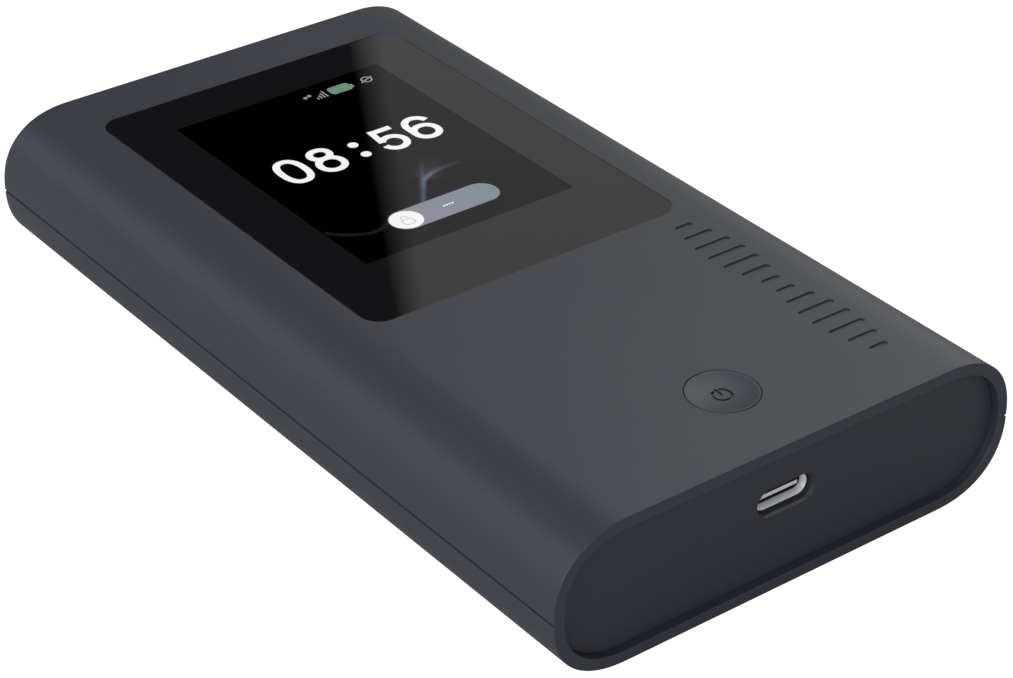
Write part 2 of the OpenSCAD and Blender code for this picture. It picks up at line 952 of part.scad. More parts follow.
module battery_lead_negative() {
    color([0.06, 0.06, 0.07]) mirror([1, 0, 0]) lead(lead_route);
}

module battery_plug() {
    h = socket_t - 2 * socket_skin - 2 * plug_gap;
    color([0.93, 0.92, 0.88]) {
        box(-plug_w / 2, plug_w / 2, socket_y0 + 1.5, plug_end_y, plug_z - h / 2, plug_z + h / 2);
    }
}

module battery_socket() {
    color([0.9, 0.89, 0.84]) difference() {
        box(-socket_x / 2, socket_x / 2, socket_y0, socket_y1, board_low - socket_t, board_low);
        box(-plug_w / 2 - plug_gap, plug_w / 2 + plug_gap, socket_y0 + 1.4, socket_y1 + 1,
            board_low - socket_t + socket_skin, board_low - socket_skin);
    }
}

// ---- antennas -----------------------------------------------------------

module antenna_carrier(side) {
    window_z = board_top + 1.2;
    color([0.16, 0.17, 0.18]) difference() {
        box(min(side * carrier_x, side * (carrier_x + carrier_t)),
            max(side * carrier_x, side * (carrier_x + carrier_t)),
            carrier_y - carrier_l / 2, carrier_y + carrier_l / 2,
            board_top, board_top + carrier_h);
        for (y = [-24, 0, 24]) {
            box(-body_w, body_w, carrier_y + y - 7, carrier_y + y + 7,
                window_z, window_z + 1.6);
        }
    }
}

module antenna_foil(side) {
    x0 = side * (carrier_x + carrier_t);
    x1 = x0 + side * foil_t;
    z1 = board_top + carrier_h;
    color([0.8, 0.55, 0.3]) difference() {
        box(min(x0, x1), max(x0, x1), carrier_y - 32, carrier_y + 32, z1 - foil_h, z1 - 0.2);
        box(-body_w, body_w, carrier_y - 20, carrier_y + 40, z1 - 2.3, z1 - 1.6);
    }
}

module antenna_carrier_left() {
    antenna_carrier(-1);
}

module antenna_carrier_right() {
    antenna_carrier(1);
}

module antenna_foil_left() {
    antenna_foil(-1);
}

module antenna_foil_right() {
    antenna_foil(1);
}

module wifi_antennas() {
    color([0.8, 0.55, 0.3]) for (side = [-1, 1]) {
        translate([side * wifi_foil_x, wifi_foil_y, 0]) difference() {
            slab(wifi_foil_w, wifi_foil_l, 1, ceiling_z - foil_t, ceiling_z);
            box(-1, 1, -8, 20, ceiling_z - 1, ceiling_z + 1);
        }
    }
}

// C-shaped contact springs soldered to the board beside each carrier
module antenna_springs() {
    r = spring_h / 2 - spring_t / 2;
    z = board_top + spring_h / 2;
    path = concat(
        [[spring_w / 2, z - r]],
        arc_points([-spring_w / 2, z], r, 270, 90, 8),
        [[spring_w / 2, z + r]]
    );
    color([0.85, 0.68, 0.3]) for (side = [-1, 1], y = spring_y) {
        translate([side * spring_x, y, 0]) along_y(-0.6, 0.6) ribbon(path, spring_t);
    }
}

// ---- nodes --------------------------------------------------------------

top_shell();
bottom_shell();
front_cap();
rear_cap();
cover_glass();
glass_adhesive();
optical_adhesive();
lcd_panel();
lcd_backlight();
lcd_tray();
lcd_flex();
lcd_connector();
mid_frame();
frame_screws();
heat_spreader();
thermal_pads();
color([0.76, 0.77, 0.79]) shield(modem_can);  // modem_shield
color([0.76, 0.77, 0.79]) shield(radio_can);  // radio_shield
color([0.76, 0.77, 0.79]) shield(wifi_can);  // wifi_shield
board_chips();
main_board();
usb_shell();
usb_tongue();
usb_contacts();
power_button();
switch_plunger();
switch_body();
reset_switch();
reset_plunger();
sim_socket();
sim_tray();
sim_card();
battery_pouch();
battery_board();
battery_lead_positive();
battery_lead_negative();
battery_plug();
battery_socket();
battery_pad();
antenna_carrier_left();
antenna_carrier_right();
antenna_foil_left();
antenna_foil_right();
wifi_antennas();
antenna_springs();
case_screws();
screw_plugs();
rating_label();
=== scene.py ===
"""Looks of the pocket mobile hotspot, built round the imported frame.

Shapes are drawn in millimetres in the frame's own axes: +X is the reader's right, +Y runs from the USB end
to the SIM end, +Z is up. Each finished mesh is scaled to metres.
"""

import math

import bmesh
import bpy
from mathutils import Matrix, Vector
from mathutils.geometry import delaunay_2d_cdt


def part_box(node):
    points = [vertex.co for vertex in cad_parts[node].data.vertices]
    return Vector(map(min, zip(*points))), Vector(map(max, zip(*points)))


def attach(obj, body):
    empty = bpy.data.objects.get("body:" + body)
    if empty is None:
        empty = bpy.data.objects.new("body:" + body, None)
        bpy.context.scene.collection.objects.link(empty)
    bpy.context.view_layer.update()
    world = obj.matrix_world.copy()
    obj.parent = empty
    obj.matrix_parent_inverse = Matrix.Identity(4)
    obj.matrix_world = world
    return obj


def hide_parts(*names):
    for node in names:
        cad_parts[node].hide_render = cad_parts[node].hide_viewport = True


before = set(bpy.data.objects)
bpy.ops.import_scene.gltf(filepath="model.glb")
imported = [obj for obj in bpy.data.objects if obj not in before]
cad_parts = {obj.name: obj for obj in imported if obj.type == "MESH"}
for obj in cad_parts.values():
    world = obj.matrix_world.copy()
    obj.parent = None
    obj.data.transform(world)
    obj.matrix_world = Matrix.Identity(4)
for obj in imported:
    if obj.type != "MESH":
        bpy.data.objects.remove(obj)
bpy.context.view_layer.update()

# ---- sizes, in millimetres

MM = 0.001
CUT = 1.0     # how far a cutter runs past the surface that it cuts
THROUGH = 3   # depth of a cutter that goes right through an end plate
BITE = 0.3    # how far a rib or collar sinks into its wall


def node_box(node):
    """Lowest and highest corner of a CAD node, in millimetres."""
    low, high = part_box(node)
    return low / MM, high / MM


def node_middle(node):
    """Middle of a CAD node, in millimetres."""
    return [(a + b) / 2 for a, b in zip(*node_box(node))]


HALF_W, HALF_L, TOP_Z = node_box("top_shell")[1]
MID_Z = TOP_Z / 2
FLAT_X = 26.65
SIDE_POWER = 2.34
WALL = 1.75
CEILING_Z = TOP_Z - WALL
SIDE_STEPS = 48
ROUND_STEPS = 5
SEAM_H = 0.38
SEAM_D = 0.28
PARTING_Z = 10.8
SEAM_ROUND = 0.12
RIM_ROUND = 0.2
RIM_OPENING = 0.8
LIP_INSET = 1.0
LIP_H = 0.9
LIP_GAP = 0.05
CAP_GAP = 0.05
CAP_EASE = 0.1
FLANGE_INSET = 1.3
FLANGE_T = 0.8

CAP_LOW, CAP_HIGH = node_box("rear_cap")
FLANGE_Y = node_middle("rear_cap")[1]

GLASS_LOW, GLASS_HIGH = node_box("cover_glass")
GLASS_Y = node_middle("cover_glass")[1]
GLASS_R = 3.3
GLASS_GAP = 0.04
GLASS_EASE = 0.06
POCKET_FLARE = 0.05
LEDGE_Z = node_box("glass_adhesive")[0].z
GLASS_SINK = 0.03
GLASS_TOP = TOP_Z - GLASS_SINK
LAYER = 0.007

TRAY_LOW, TRAY_HIGH = node_box("lcd_tray")
WINDOW_GAP = 0.3

BUTTON_LOW, BUTTON_HIGH = node_box("power_button")
BUTTON_Y = node_middle("power_button")[1]
BUTTON_R = 5.1
BUTTON_GAP = 0.035
BUTTON_FLANGE_R = BUTTON_HIGH.x
BUTTON_FLANGE_TOP = CEILING_Z - 0.05
BUTTON_FLANGE_H = 1.1
STEM_R = 1.6
DISH_DEPTH = 0.56
DISH_RIM = 0.12
BUTTON_SINK = 0.02
BUTTON_EASE = 0.14
HOLE_DEPTH = 4
HOLE_FLARE = 0.16
COLLAR_R = 7.4
COLLAR_H = 2.2
COLLAR_BORE_R = 6.4
ICON_R = 1.3
ICON_LINE = 0.42
ICON_BAR = 1.3
ICON_GAP = 0.5
ICON_DEPTH = 0.26

STROKE_X = 24
STROKE_Y = (-58.4, -18.2)
STROKE_COUNT = 14
STROKE_W = 0.8
STROKE_DEPTH = 0.25
STROKE_LENGTH = (2.0, 6.6)
STROKE_FLARE = 0.14

USB_LOW, USB_HIGH = node_box("usb_shell")
USB_Z = node_middle("usb_shell")[2]
USB_W = USB_HIGH.x - USB_LOW.x
USB_H = USB_HIGH.z - USB_LOW.z
USB_WALL = 0.5
USB_GAP = 0.25
USB_CHAMFER = 0.35
USB_SINK = 0.5
USB_FLARE = 0.8
# depth at which the dark liner starts; the liner is painted shade for the sleeve's floor in the tongue's
# shadow
USB_SHADE_LINER = 1.3
USB_LIP = 0.06
SLEEVE_GAP = 0.04
SHADE_LINER_T = 0.15
TONGUE_SINK = 0.3
TONGUE_LOW, TONGUE_HIGH = node_box("usb_tongue")
TONGUE_W = 6.69
TONGUE_T = 0.7
TONGUE_BASE = 2.5
TONGUE_R = 0.12

SCREW_SPOTS = [(x, y) for x in (-23.5, 23.5) for y in (-60.5, 61.0)]
FRAME_SPOTS = [(x, y) for x in (-24.6, 24.6) for y in (-10.35, 54.6)]
BOARD_LOW, BOARD_HIGH = node_box("main_board")
FRAME_TOP = node_box("mid_frame")[1].z
POUCH_LOW, POUCH_HIGH = node_box("battery_pouch")
BOSS_BITE = 0.8
BOSS_R = 3
FRAME_BOSS_R = 2.1
POST_R = 3.7
SCREW_R = 1
FRAME_SCREW_R = 0.6
BORE_TOP = 17.5
FRAME_BORE_TOP = CEILING_Z - 0.2
RIB_X = 24
RIB_H = 3
RIB_GAPS = (0.6, 1.8)
PLUG_R = 2.5
PLUG_EASE = 0.2
PLUG_BORE_R = 2.6
PLUG_FLARE = 0.15
SCREW_CLEAR_R = 1.2
SCREW_SEAT_Z = 3.0

SIM_X, _, SIM_Z = node_middle("sim_tray")
SIM_FACE = (16.4, 2.6, 1.2)
SIM_BLADE = (15.0, 1.0)
SIM_CLEAR = 0.15
SIM_FACE_R = 0.8
SIM_FLARE = 0.1
RESET_X, _, RESET_Z = node_middle("reset_plunger")
PINHOLE_R = 0.6
PINHOLE_FLARE = 0.2

LABEL_SIZE = (40.0, 58.0, 2.0, 0.2)
LABEL_FLARE = 0.06

# ---- outlines


def turned(radius, start, end, steps):
    """Points of an arc about the origin, angles in degrees."""
    angles = [math.radians(start + (end - start) * i / steps) for i in range(steps + 1)]
    return [(radius * math.cos(angle), radius * math.sin(angle)) for angle in angles]


def quarter(radius):
    """Points of a quarter round, from (radius, 0) to (0, radius)."""
    return turned(radius, 0, 90, ROUND_STEPS)


def outline(width, length, radius, grow=0.0, steps=10):
    """Rounded rectangle round the origin, counter-clockwise, grown outwards."""
    half_w = width / 2 + grow
    half_l = length / 2 + grow
    radius = radius + grow
    points = []
    for i, (sx, sy) in enumerate(((1, 1), (-1, 1), (-1, -1), (1, -1))):
        for x, y in turned(radius, 90 * i, 90 * i + 90, steps):
            points.append((sx * (half_w - radius) + x, sy * (half_l - radius) + y))
    return points


def side_x(inset, height):
    """Half width of the body at a height off mid-height, moved inwards by inset."""
    share = (abs(height) / (MID_Z - inset)) ** SIDE_POWER
    return FLAT_X + (HALF_W - FLAT_X - inset) * (1 - share) ** (1 / SIDE_POWER)


def side_curve(inset, start_height):
    """Points (x, height) of the bulged side, from a height off mid-height to the flat."""
    share = (abs(start_height) / (MID_Z - inset)) ** (SIDE_POWER / 2)
    start = math.copysign(math.asin(min(share, 1)), start_height)
    points = []
    for i in range(SIDE_STEPS + 1):
        angle = start + (math.pi / 2 - start) * i / SIDE_STEPS
        x = FLAT_X + (HALF_W - FLAT_X - inset) * abs(math.cos(angle)) ** (2 / SIDE_POWER)
        height = (MID_Z - inset) * abs(math.sin(angle)) ** (2 / SIDE_POWER)
        points.append((x, math.copysign(height, angle)))
    return points


def mirrored(points):
    """The same line on the other side of the middle plane, run backwards."""
    return [(-x, y) for x, y in reversed(points)]


def shell_section(outer, inner, lip_inset, lip_height, parting):
    """Closed outline of one shell, with its heights measured off mid-height."""
    groove = parting + SEAM_H / 2
    lip = parting + lip_height
    skin = [(side_x(outer + SEAM_D, parting), parting), (side_x(outer + SEAM_D, groove), groove)]
    for x, y in turned(SEAM_ROUND, 270, 360, ROUND_STEPS):
        height = groove + SEAM_ROUND + y
        skin.append((side_x(outer + SEAM_ROUND - x, height), height))
    skin += side_curve(outer, groove + SEAM_ROUND)[1:]
    lining = side_curve(inner, lip)[::-1]
    lining += [(side_x(lip_inset, lip), lip), (side_x(lip_inset, parting), parting)]
    return skin + mirrored(skin) + mirrored(lining) + lining


def body_section(inset):
    """Closed outline of the whole body, moved inwards."""
    upper = side_curve(inset, 0.0)
    lower = [(x, -height) for x, height in reversed(upper)]
    right = lower + upper[1:]
    return right + mirrored(right)


# ---- mesh parts: each is (vertices, faces)


def loft(rings, loop=False):
    """Skin through rings with equal numbers of points, closed by end faces or into a loop."""
    count = len(rings[0])
    vertices = [p for ring in rings for p in ring]
    pairs = [(k, k + 1) for k in range(len(rings) - 1)]
    if loop:
        pairs.append((len(rings) - 1, 0))
    faces = []
    for low, high in pairs:
        for i in range(count):
            j = (i + 1) % count
            faces.append((low * count + i, low * count + j, high * count + j, high * count + i))
    if not loop:
        faces.append(tuple(reversed(range(count))))
        faces.append(tuple(range(len(vertices) - count, len(vertices))))
    return vertices, faces


def together(parts):
    """Several parts as one."""
    vertices, faces = [], []
    for more, sides in parts:
        start = len(vertices)
        vertices += more
        faces += [tuple(start + i for i in side) for side in sides]
    return vertices, faces


def placed(part, origin, facing="up"):
    """Stands a part, whose own third axis points out of a surface, on one face of the body."""
    ox, oy, oz = origin
    turn = {
        "up": lambda x, y, z: (ox + x, oy + y, oz + z),
        "down": lambda x, y, z: (ox + x, oy - y, oz - z),
        "front": lambda x, y, z: (ox + x, oy - z, oz + y),
        "back": lambda x, y, z: (ox - x, oy + z, oz + y),
    }[facing]
    vertices, faces = part
    return [turn(*p) for p in vertices], faces


def at_each(part, spots, facing="up"):
    """The same part at several (x, y) places, as one."""
    return together([placed(part, (x, y, 0), facing) for x, y in spots])


def stacked(width, length, radius, levels, steps=10):
    """Solid through rounded rectangles, from (height, growth) pairs."""
    return loft([
        [(x, y, height) for x, y in outline(width, length, radius, grow, steps)]
        for height, grow in levels
    ])


def flared(width, length, radius, depth, flare, steps=10):
    """Cutter for a sunken shape whose mouth is rounded."""
    mouth = [(rise - flare, flare - run) for run, rise in quarter(flare)]
    return stacked(width, length, radius, [(-depth, 0.0), *mouth, (CUT, flare)], steps)


def eased(width, length, radius, low, high, ease, steps=10):
    """Block with rounded corners whose two ends have small rounded edges."""
    levels = [(low + ease - run, rise - ease) for run, rise in quarter(ease)]
    levels += [(low + high - height, grow) for height, grow in reversed(levels)]
    return stacked(width, length, radius, levels, steps)


def rod(radius, low, high, steps=12):
    """Upright cylinder."""
    return stacked(2 * radius, 2 * radius, radius, [(low, 0.0), (high, 0.0)], steps)


def block(low, high):
    """Plain box between two corners, for hidden ribs and for cutting."""
    size = [b - a for a, b in zip(low, high)]
    middle = [(a + b) / 2 for a, b in zip(low, high)]
    part = stacked(size[0], size[1], 0.01, [(-size[2] / 2, 0.0), (size[2] / 2, 0.0)], 1)
    return placed(part, middle)


def lathe(profile, steps=96):
    """Solid of revolution about the vertical axis; the profile starts and ends on the axis."""
    vertices = [(0.0, 0.0, profile[0][1])]
    for radius, height in profile[1:-1]:
        for i in range(steps):
            angle = 2 * math.pi * i / steps
            vertices.append((radius * math.cos(angle), radius * math.sin(angle), height))
    vertices.append((0.0, 0.0, profile[-1][1]))
    faces = []
    last = len(vertices) - 1
    for i in range(steps):
        j = (i + 1) % steps
        faces.append((0, 1 + i, 1 + j))
        for ring in range(len(profile) - 3):
            low = 1 + ring * steps
            high = low + steps
            faces.append((low + i, high + i, high + j, low + j))
        faces.append((last - steps + i, last, last - steps + j))
    return vertices, faces


def flat(polygons, low, high, extra=()):
    """Thin closed plate in the shape of the union of polygons; extra points refine its faces."""
    points, faces = [], []
    for polygon in polygons:
        area = sum(a[0] * b[1] - b[0] * a[1] for a, b in zip(polygon, polygon[1:] + polygon[:1]))
        ordered = polygon if area > 0 else polygon[::-1]
        faces.append(list(range(len(points), len(points) + len(ordered))))
        points += [Vector(p) for p in ordered]
    points += [Vector(p) for p in extra]
    found = delaunay_2d_cdt(points, [], faces, 1, 1e-5)
    spots = found[0]
    triangles = [t for t, sources in zip(found[2], found[5]) if sources]
    count = len(spots)
    vertices = [(p.x, p.y, high) for p in spots] + [(p.x, p.y, low) for p in spots]
    sides = {}
    for triangle in triangles:
        for a, b in zip(triangle, list(triangle[1:]) + [triangle[0]]):
            sides[(a, b)] = True
    made = [tuple(t) for t in triangles]
    made += [tuple(i + count for i in reversed(t)) for t in triangles]
    made += [(b, a, a + count, b + count) for a, b in sides if (b, a) not in sides]
    return vertices, made


# ---- flat drawings: lists of polygons


def drawn(path, width, closed=False):
    """Line of even width along a list of points, as polygons."""
    count = len(path)
    left, right = [], []
    for i, point in enumerate(path):
        before = path[i - 1] if i or closed else point
        after = path[(i + 1) % count] if i < count - 1 or closed else point
        along = (Vector(after) - Vector(before)).normalized() * width / 2
        left.append((point[0] - along.y, point[1] + along.x))
        right.append((point[0] + along.y, point[1] - along.x))
    steps = [(i, (i + 1) % count) for i in range(count if closed else count - 1)]
    return [[right[i], right[j], left[j], left[i]] for i, j in steps]


def disc(x, y, radius, steps=32):
    """One round polygon."""
    return [[(x + a, y + b) for a, b in turned(radius, 0, 360, steps)[:-1]]]


def oval(centre, radii, start=0.0, end=360.0, power=2.0, steps=64):
    """Points of an oval or of a piece of one; a power above 2 squares it."""
    points = []
    for i in range(steps + 1):
        angle = math.radians(start + (end - start) * i / steps)
        c, s = math.cos(angle), math.sin(angle)
        points.append((centre[0] + radii[0] * math.copysign(abs(c) ** (2 / power), c),
                       centre[1] + radii[1] * math.copysign(abs(s) ** (2 / power), s)))
    return points


def moved(polygons, x, y):
    """The same drawing elsewhere."""
    return [[(a + x, b + y) for a, b in polygon] for polygon in polygons]


# ---- objects


def new_object(name, data):
    """Object of the scene."""
    obj = bpy.data.objects.new(name, data)
    bpy.context.scene.collection.objects.link(obj)
    return obj


def mesh_object(name, part):
    """A clean closed mesh object, still in millimetres."""
    mesh = bpy.data.meshes.new(name)
    mesh.from_pydata(part[0], [], part[1])
    work = bmesh.new()
    work.from_mesh(mesh)
    bmesh.ops.remove_doubles(work, verts=work.verts, dist=1e-5)
    bmesh.ops.dissolve_degenerate(work, dist=1e-6, edges=work.edges)
    bmesh.ops.recalc_face_normals(work, faces=work.faces)
    work.to_mesh(mesh)
    work.free()
    return new_object(name, mesh)


def settle(obj):
    """Makes an object's modifiers part of its mesh."""
    graph = bpy.context.evaluated_depsgraph_get()
    made = bpy.data.meshes.new_from_object(obj.evaluated_get(graph))
    obj.modifiers.clear()
    obj.data = made


def combine(obj, operation, parts):
    """Adds parts to an object, or cuts them out of it."""
    for part in parts:
        tool = mesh_object("tool", part)
        change = obj.modifiers.new("combine", "BOOLEAN")
        change.operation = operation
        change.solver = "EXACT"
        change.object = tool
        settle(obj)
        bpy.data.objects.remove(tool)


SHARP_ANGLE = math.radians(30)
MATERIALS = {}


def shade(mesh):
    """Smooth faces, with sharp edges wherever the surface turns by more than an angle."""
    work = bmesh.new()
    work.from_mesh(mesh)
    for face in work.faces:
        face.smooth = True
    for edge in work.edges:
        edge.smooth = len(edge.link_faces) == 2 and edge.calc_face_angle(0.0) < SHARP_ANGLE
    work.to_mesh(mesh)
    work.free()


def finished(obj, finish, stands_for=(), body="housing"):
    """Scales a mesh to metres, shades it, and fixes it to its body of the frame."""
    obj.data.transform(Matrix.Scale(MM, 4))
    shade(obj.data)
    obj.modifiers.new("weighted_normals", "WEIGHTED_NORMAL").keep_sharp = True
    obj.data.materials.clear()
    obj.data.materials.append(MATERIALS[finish])
    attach(obj, body)
    if stands_for:
        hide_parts(*stands_for)


# ---- materials


def feed(node, sockets):
    """Sets a node's inputs, each to a number, a colour or another node's output."""
    for key, value in sockets.items():
        socket = node.inputs[key]
        if isinstance(value, bpy.types.NodeSocket):
            node.id_data.links.new(value, socket)
        elif socket.type == "RGBA":
            socket.default_value = (*value, 1.0)
        else:
            socket.default_value = value


def add(tree, kind, sockets=None, **settings):
    """Adds a node with its settings and inputs."""
    node = tree.nodes.new("ShaderNode" + kind)
    for key, value in settings.items():
        setattr(node, key, value)
    feed(node, sockets or {})
    return node


def new_material(name, kind="BsdfPrincipled"):
    """Material with one shader: (material, its node tree, the shader)."""
    material = bpy.data.materials.new(name)
    material.use_nodes = True
    tree = material.node_tree
    tree.nodes.clear()
    shader = add(tree, kind)
    add(tree, "OutputMaterial", {"Surface": shader.outputs[0]})
    return material, tree, shader


def stretched(tree, stretch=(1, 1, 1)):
    """Coordinates that stay with the piece, scaled by a factor on each axis."""
    place = add(tree, "TexCoord")
    return add(tree, "Mapping", {0: place.outputs["Object"], "Scale": stretch}).outputs[0]


def axes(tree, kind="Object"):
    """One output for each axis of the same coordinates, or of the UV map's."""
    place = add(tree, "TexCoord")
    return add(tree, "SeparateXYZ", {0: place.outputs[kind]}).outputs


def between(tree, factor, low, high, start=0.0, end=1.0):
    """Factor from start to end mapped to the range from low to high."""
    return add(tree, "MapRange", {"Value": factor, "From Min": start, "From Max": end,
                                  "To Min": low, "To Max": high}).outputs["Result"]


def blended(tree, factor, low, high):
    """Colour between two colours."""
    return add(tree, "Mix", {"Factor": factor, 6: low, 7: high}, data_type="RGBA").outputs[2]


def calculated(tree, operation, *terms):
    """Result of a sum on numbers or outputs."""
    return add(tree, "Math", dict(enumerate(terms)), operation=operation).outputs["Value"]


def bumped(tree, height, distance, strength=1.0):
    """Normal of a relief whose full height is a distance in millimetres."""
    return add(tree, "Bump", {"Height": height, "Distance": distance * MM,
                              "Strength": strength}).outputs["Normal"]


def noise(tree, where, scale, detail=3.0):
    """Noise with features about 1/scale metres across."""
    return add(tree, "TexNoise", {"Vector": where, "Scale": scale, "Detail": detail,
                                  "Roughness": 0.5}).outputs["Fac"]


def surface(name, dark, light, rough, grain, relief=0.0, patch=14, specular=0.5, metallic=0.0,
            stretch=(1, 1, 1)):
    """Speckled surface: fine grain in colour and height, broad patches in gloss.

    grain is the size of the speckles and relief their height, both in millimetres.
    """
    material, tree, shader = new_material(name)
    where = stretched(tree, stretch)
    fine = noise(tree, where, 1 / (grain * MM))
    broad = noise(tree, where, 1 / (patch * MM), detail=2.0)
    tint = calculated(tree, "MULTIPLY_ADD", fine, 0.5, calculated(tree, "MULTIPLY", broad, 0.5))
    feed(shader, {"Base Color": blended(tree, tint, dark, light),
                  "Roughness": between(tree, broad, *rough), "Metallic": metallic,
                  "Specular IOR Level": specular})
    if relief:
        feed(shader, {"Normal": bumped(tree, fine, relief)})
    MATERIALS[name] = material
    return tree, shader


def paint_mouth_highlight(tree, shader):
    """Paints a highlight on the lower chamfer of the port's mouth by turning it paler."""
    spot = axes(tree)
    face_y = -CAP_HIGH.y
    edge_z = USB_Z - USB_H / 2 - USB_GAP - USB_CHAMFER
    inside = between(tree, spot["Y"], 0, 1, face_y * MM, (face_y + 0.05) * MM)
    below = between(tree, spot["Z"], 0, 1, (edge_z + 0.33) * MM, (edge_z + 0.25) * MM)
    plain = shader.inputs["Base Color"].links[0].from_socket
    highlight_mask = calculated(tree, "MULTIPLY", inside, below)
    # paler colour of the painted highlight on the chamfer
    feed(shader, {"Base Color": blended(tree, highlight_mask, plain, (0.080, 0.082, 0.092))})


def gloss(name, base, specular=0.24):
    """Clear hard gloss over a dark print, with faint wipe marks in the gloss."""
    material, tree, shader = new_material(name)
    wipes = noise(tree, stretched(tree, (0.35, 1.6, 1)), 90, detail=4.0)
    dust = noise(tree, stretched(tree), 2600, detail=1.0)
    feed(shader, {"Roughness": between(tree, wipes, 0.010, 0.018),
                  "Base Color": blended(tree, dust, base, [c * 1.15 for c in base]),
                  "Specular IOR Level": specular})
    MATERIALS[name] = material
    return tree, shader


def printed(name, colour, far_colour=None, start=0, end=1):
    """Lit part of the display: the glow runs from one colour to another along X."""
    tree, shader = gloss(name, (0.0004, 0.0004, 0.0005))
    along = between(tree, axes(tree)["X"], 0, 1, start * MM, end * MM)
    feed(shader, {"Emission Color": blended(tree, along, colour, far_colour or colour),
                  "Emission Strength": 1.0})


def make_glow():
    """Dark display area whose soft glow is stored on the mesh."""
    tree, shader = gloss("display_glow", (0.0003, 0.0003, 0.0005))
    glow = add(tree, "Attribute", attribute_name="glow")
    feed(shader, {"Emission Color": glow.outputs["Color"], "Emission Strength": 1.0})


def make_laminate():
    """Green laminate: copper runs show through the mask as slightly lighter straight bands."""
    MATERIALS["board_laminate"], tree, shader = new_material("board_laminate")
    where = stretched(tree)
    runs = add(tree, "TexBrick", {
        "Vector": where, "Scale": 420.0, "Mortar Size": 0.09, "Mortar Smooth": 0.4,
        "Color1": (0.012, 0.07, 0.035), "Color2": (0.016, 0.085, 0.042), "Mortar": (0.03, 0.14, 0.06),
    })
    feed(shader, {"Base Color": runs.outputs["Color"],
                  "Roughness": between(tree, noise(tree, where, 3000), 0.28, 0.42),
                  "Normal": bumped(tree, runs.outputs["Fac"], 0.02, 0.6)})


CAP = ((0.0326, 0.0346, 0.0457), (0.0359, 0.0381, 0.05), (0.5, 0.56), 0.28, 0.0022, 16, 0.35)

# darkest and lightest colour, range of roughness, and the further arguments of surface() in turn
FINISHES = {
    "shell_plastic": ((0.0338, 0.038, 0.0535), (0.0374, 0.0421, 0.0587), (0.44, 0.5),
                      0.28, 0.0022, 22, 0.42),
    "cap_plastic": CAP,
    "mouth_plastic": CAP,
    "button_plastic": ((0.033, 0.037, 0.0515), (0.036, 0.0405, 0.056), (0.4, 0.46),
                       0.22, 0.0012, 6, 0.45),
    "usb_steel": ((0.82, 0.84, 0.88), (0.88, 0.9, 0.94), (0.38, 0.48),
                  0.15, 0.0012, 5, 0.8, 0.2, (1, 0.1, 1)),
    "usb_plastic": ((0.018, 0.018, 0.02), (0.024, 0.024, 0.027), (0.32, 0.42), 0.2, 0.002, 3),
    "tray_plastic": ((0.031, 0.0335, 0.0395), (0.0345, 0.037, 0.043), (0.42, 0.5),
                     0.24, 0.0018, 8, 0.4),
    "card_plastic": ((0.62, 0.62, 0.6), (0.68, 0.68, 0.66), (0.35, 0.45), 0.3, 0.0015),
    "switch_plastic": ((0.03, 0.03, 0.032), (0.045, 0.045, 0.047), (0.35, 0.5), 0.3, 0.003),
    "frame_plastic": ((0.05, 0.052, 0.057), (0.065, 0.068, 0.073), (0.5, 0.62), 0.35, 0.004),
    "connector_plastic": ((0.62, 0.58, 0.48), (0.7, 0.66, 0.56), (0.4, 0.5), 0.3, 0.002),
    "backlight_plastic": ((0.8, 0.81, 0.83), (0.86, 0.87, 0.89), (0.3, 0.4), 0.5, 0.001),
    "adhesive": ((0.015, 0.015, 0.015), (0.025, 0.025, 0.025), (0.6, 0.7), 0.5, 0.006),
    "clear_adhesive": ((0.5, 0.54, 0.58), (0.56, 0.6, 0.64), (0.12, 0.2), 1.5, 0.001),
    "flex_film": ((0.32, 0.15, 0.025), (0.42, 0.2, 0.04), (0.25, 0.35),
                  0.4, 0.002, 14, 0.5, 0.0, (3, 0.2, 0.2)),
    "thermal_rubber": ((0.25, 0.3, 0.38), (0.3, 0.36, 0.45), (0.7, 0.85), 0.25, 0.006),
    "chip_epoxy": ((0.012, 0.012, 0.013), (0.02, 0.02, 0.022), (0.45, 0.6), 0.15, 0.003),
    "pouch_foil": ((0.5, 0.51, 0.54), (0.6, 0.61, 0.64), (0.28, 0.45), 2.5, 0.02, 14, 0.5, 0.9),
    "lead_red": ((0.42, 0.012, 0.01), (0.5, 0.02, 0.015), (0.35, 0.45), 0.3),
    "lead_black": ((0.012, 0.012, 0.013), (0.02, 0.02, 0.02), (0.35, 0.45), 0.3),
    "plug_rubber": ((0.02, 0.021, 0.023), (0.026, 0.027, 0.03), (0.62, 0.75), 0.2, 0.004),
    "label_film": ((0.06, 0.062, 0.066), (0.07, 0.072, 0.076), (0.3, 0.36), 0.35, 0.0012),
}

# colour, range of roughness, and how far the grain is drawn out along each axis
METALS = {
    "sheet_steel": ((0.55, 0.56, 0.58), (0.3, 0.42), (0.1, 1, 1)),
    "screw_steel": ((0.5, 0.5, 0.52), (0.25, 0.4), (1, 1, 1)),
    "spreader_aluminium": ((0.78, 0.79, 0.8), (0.35, 0.5), (1, 0.08, 1)),
    "gold_contact": ((0.83, 0.6, 0.22), (0.2, 0.3), (1, 1, 1)),
    "copper_foil": ((0.72, 0.38, 0.2), (0.3, 0.45), (1, 1, 1)),
}


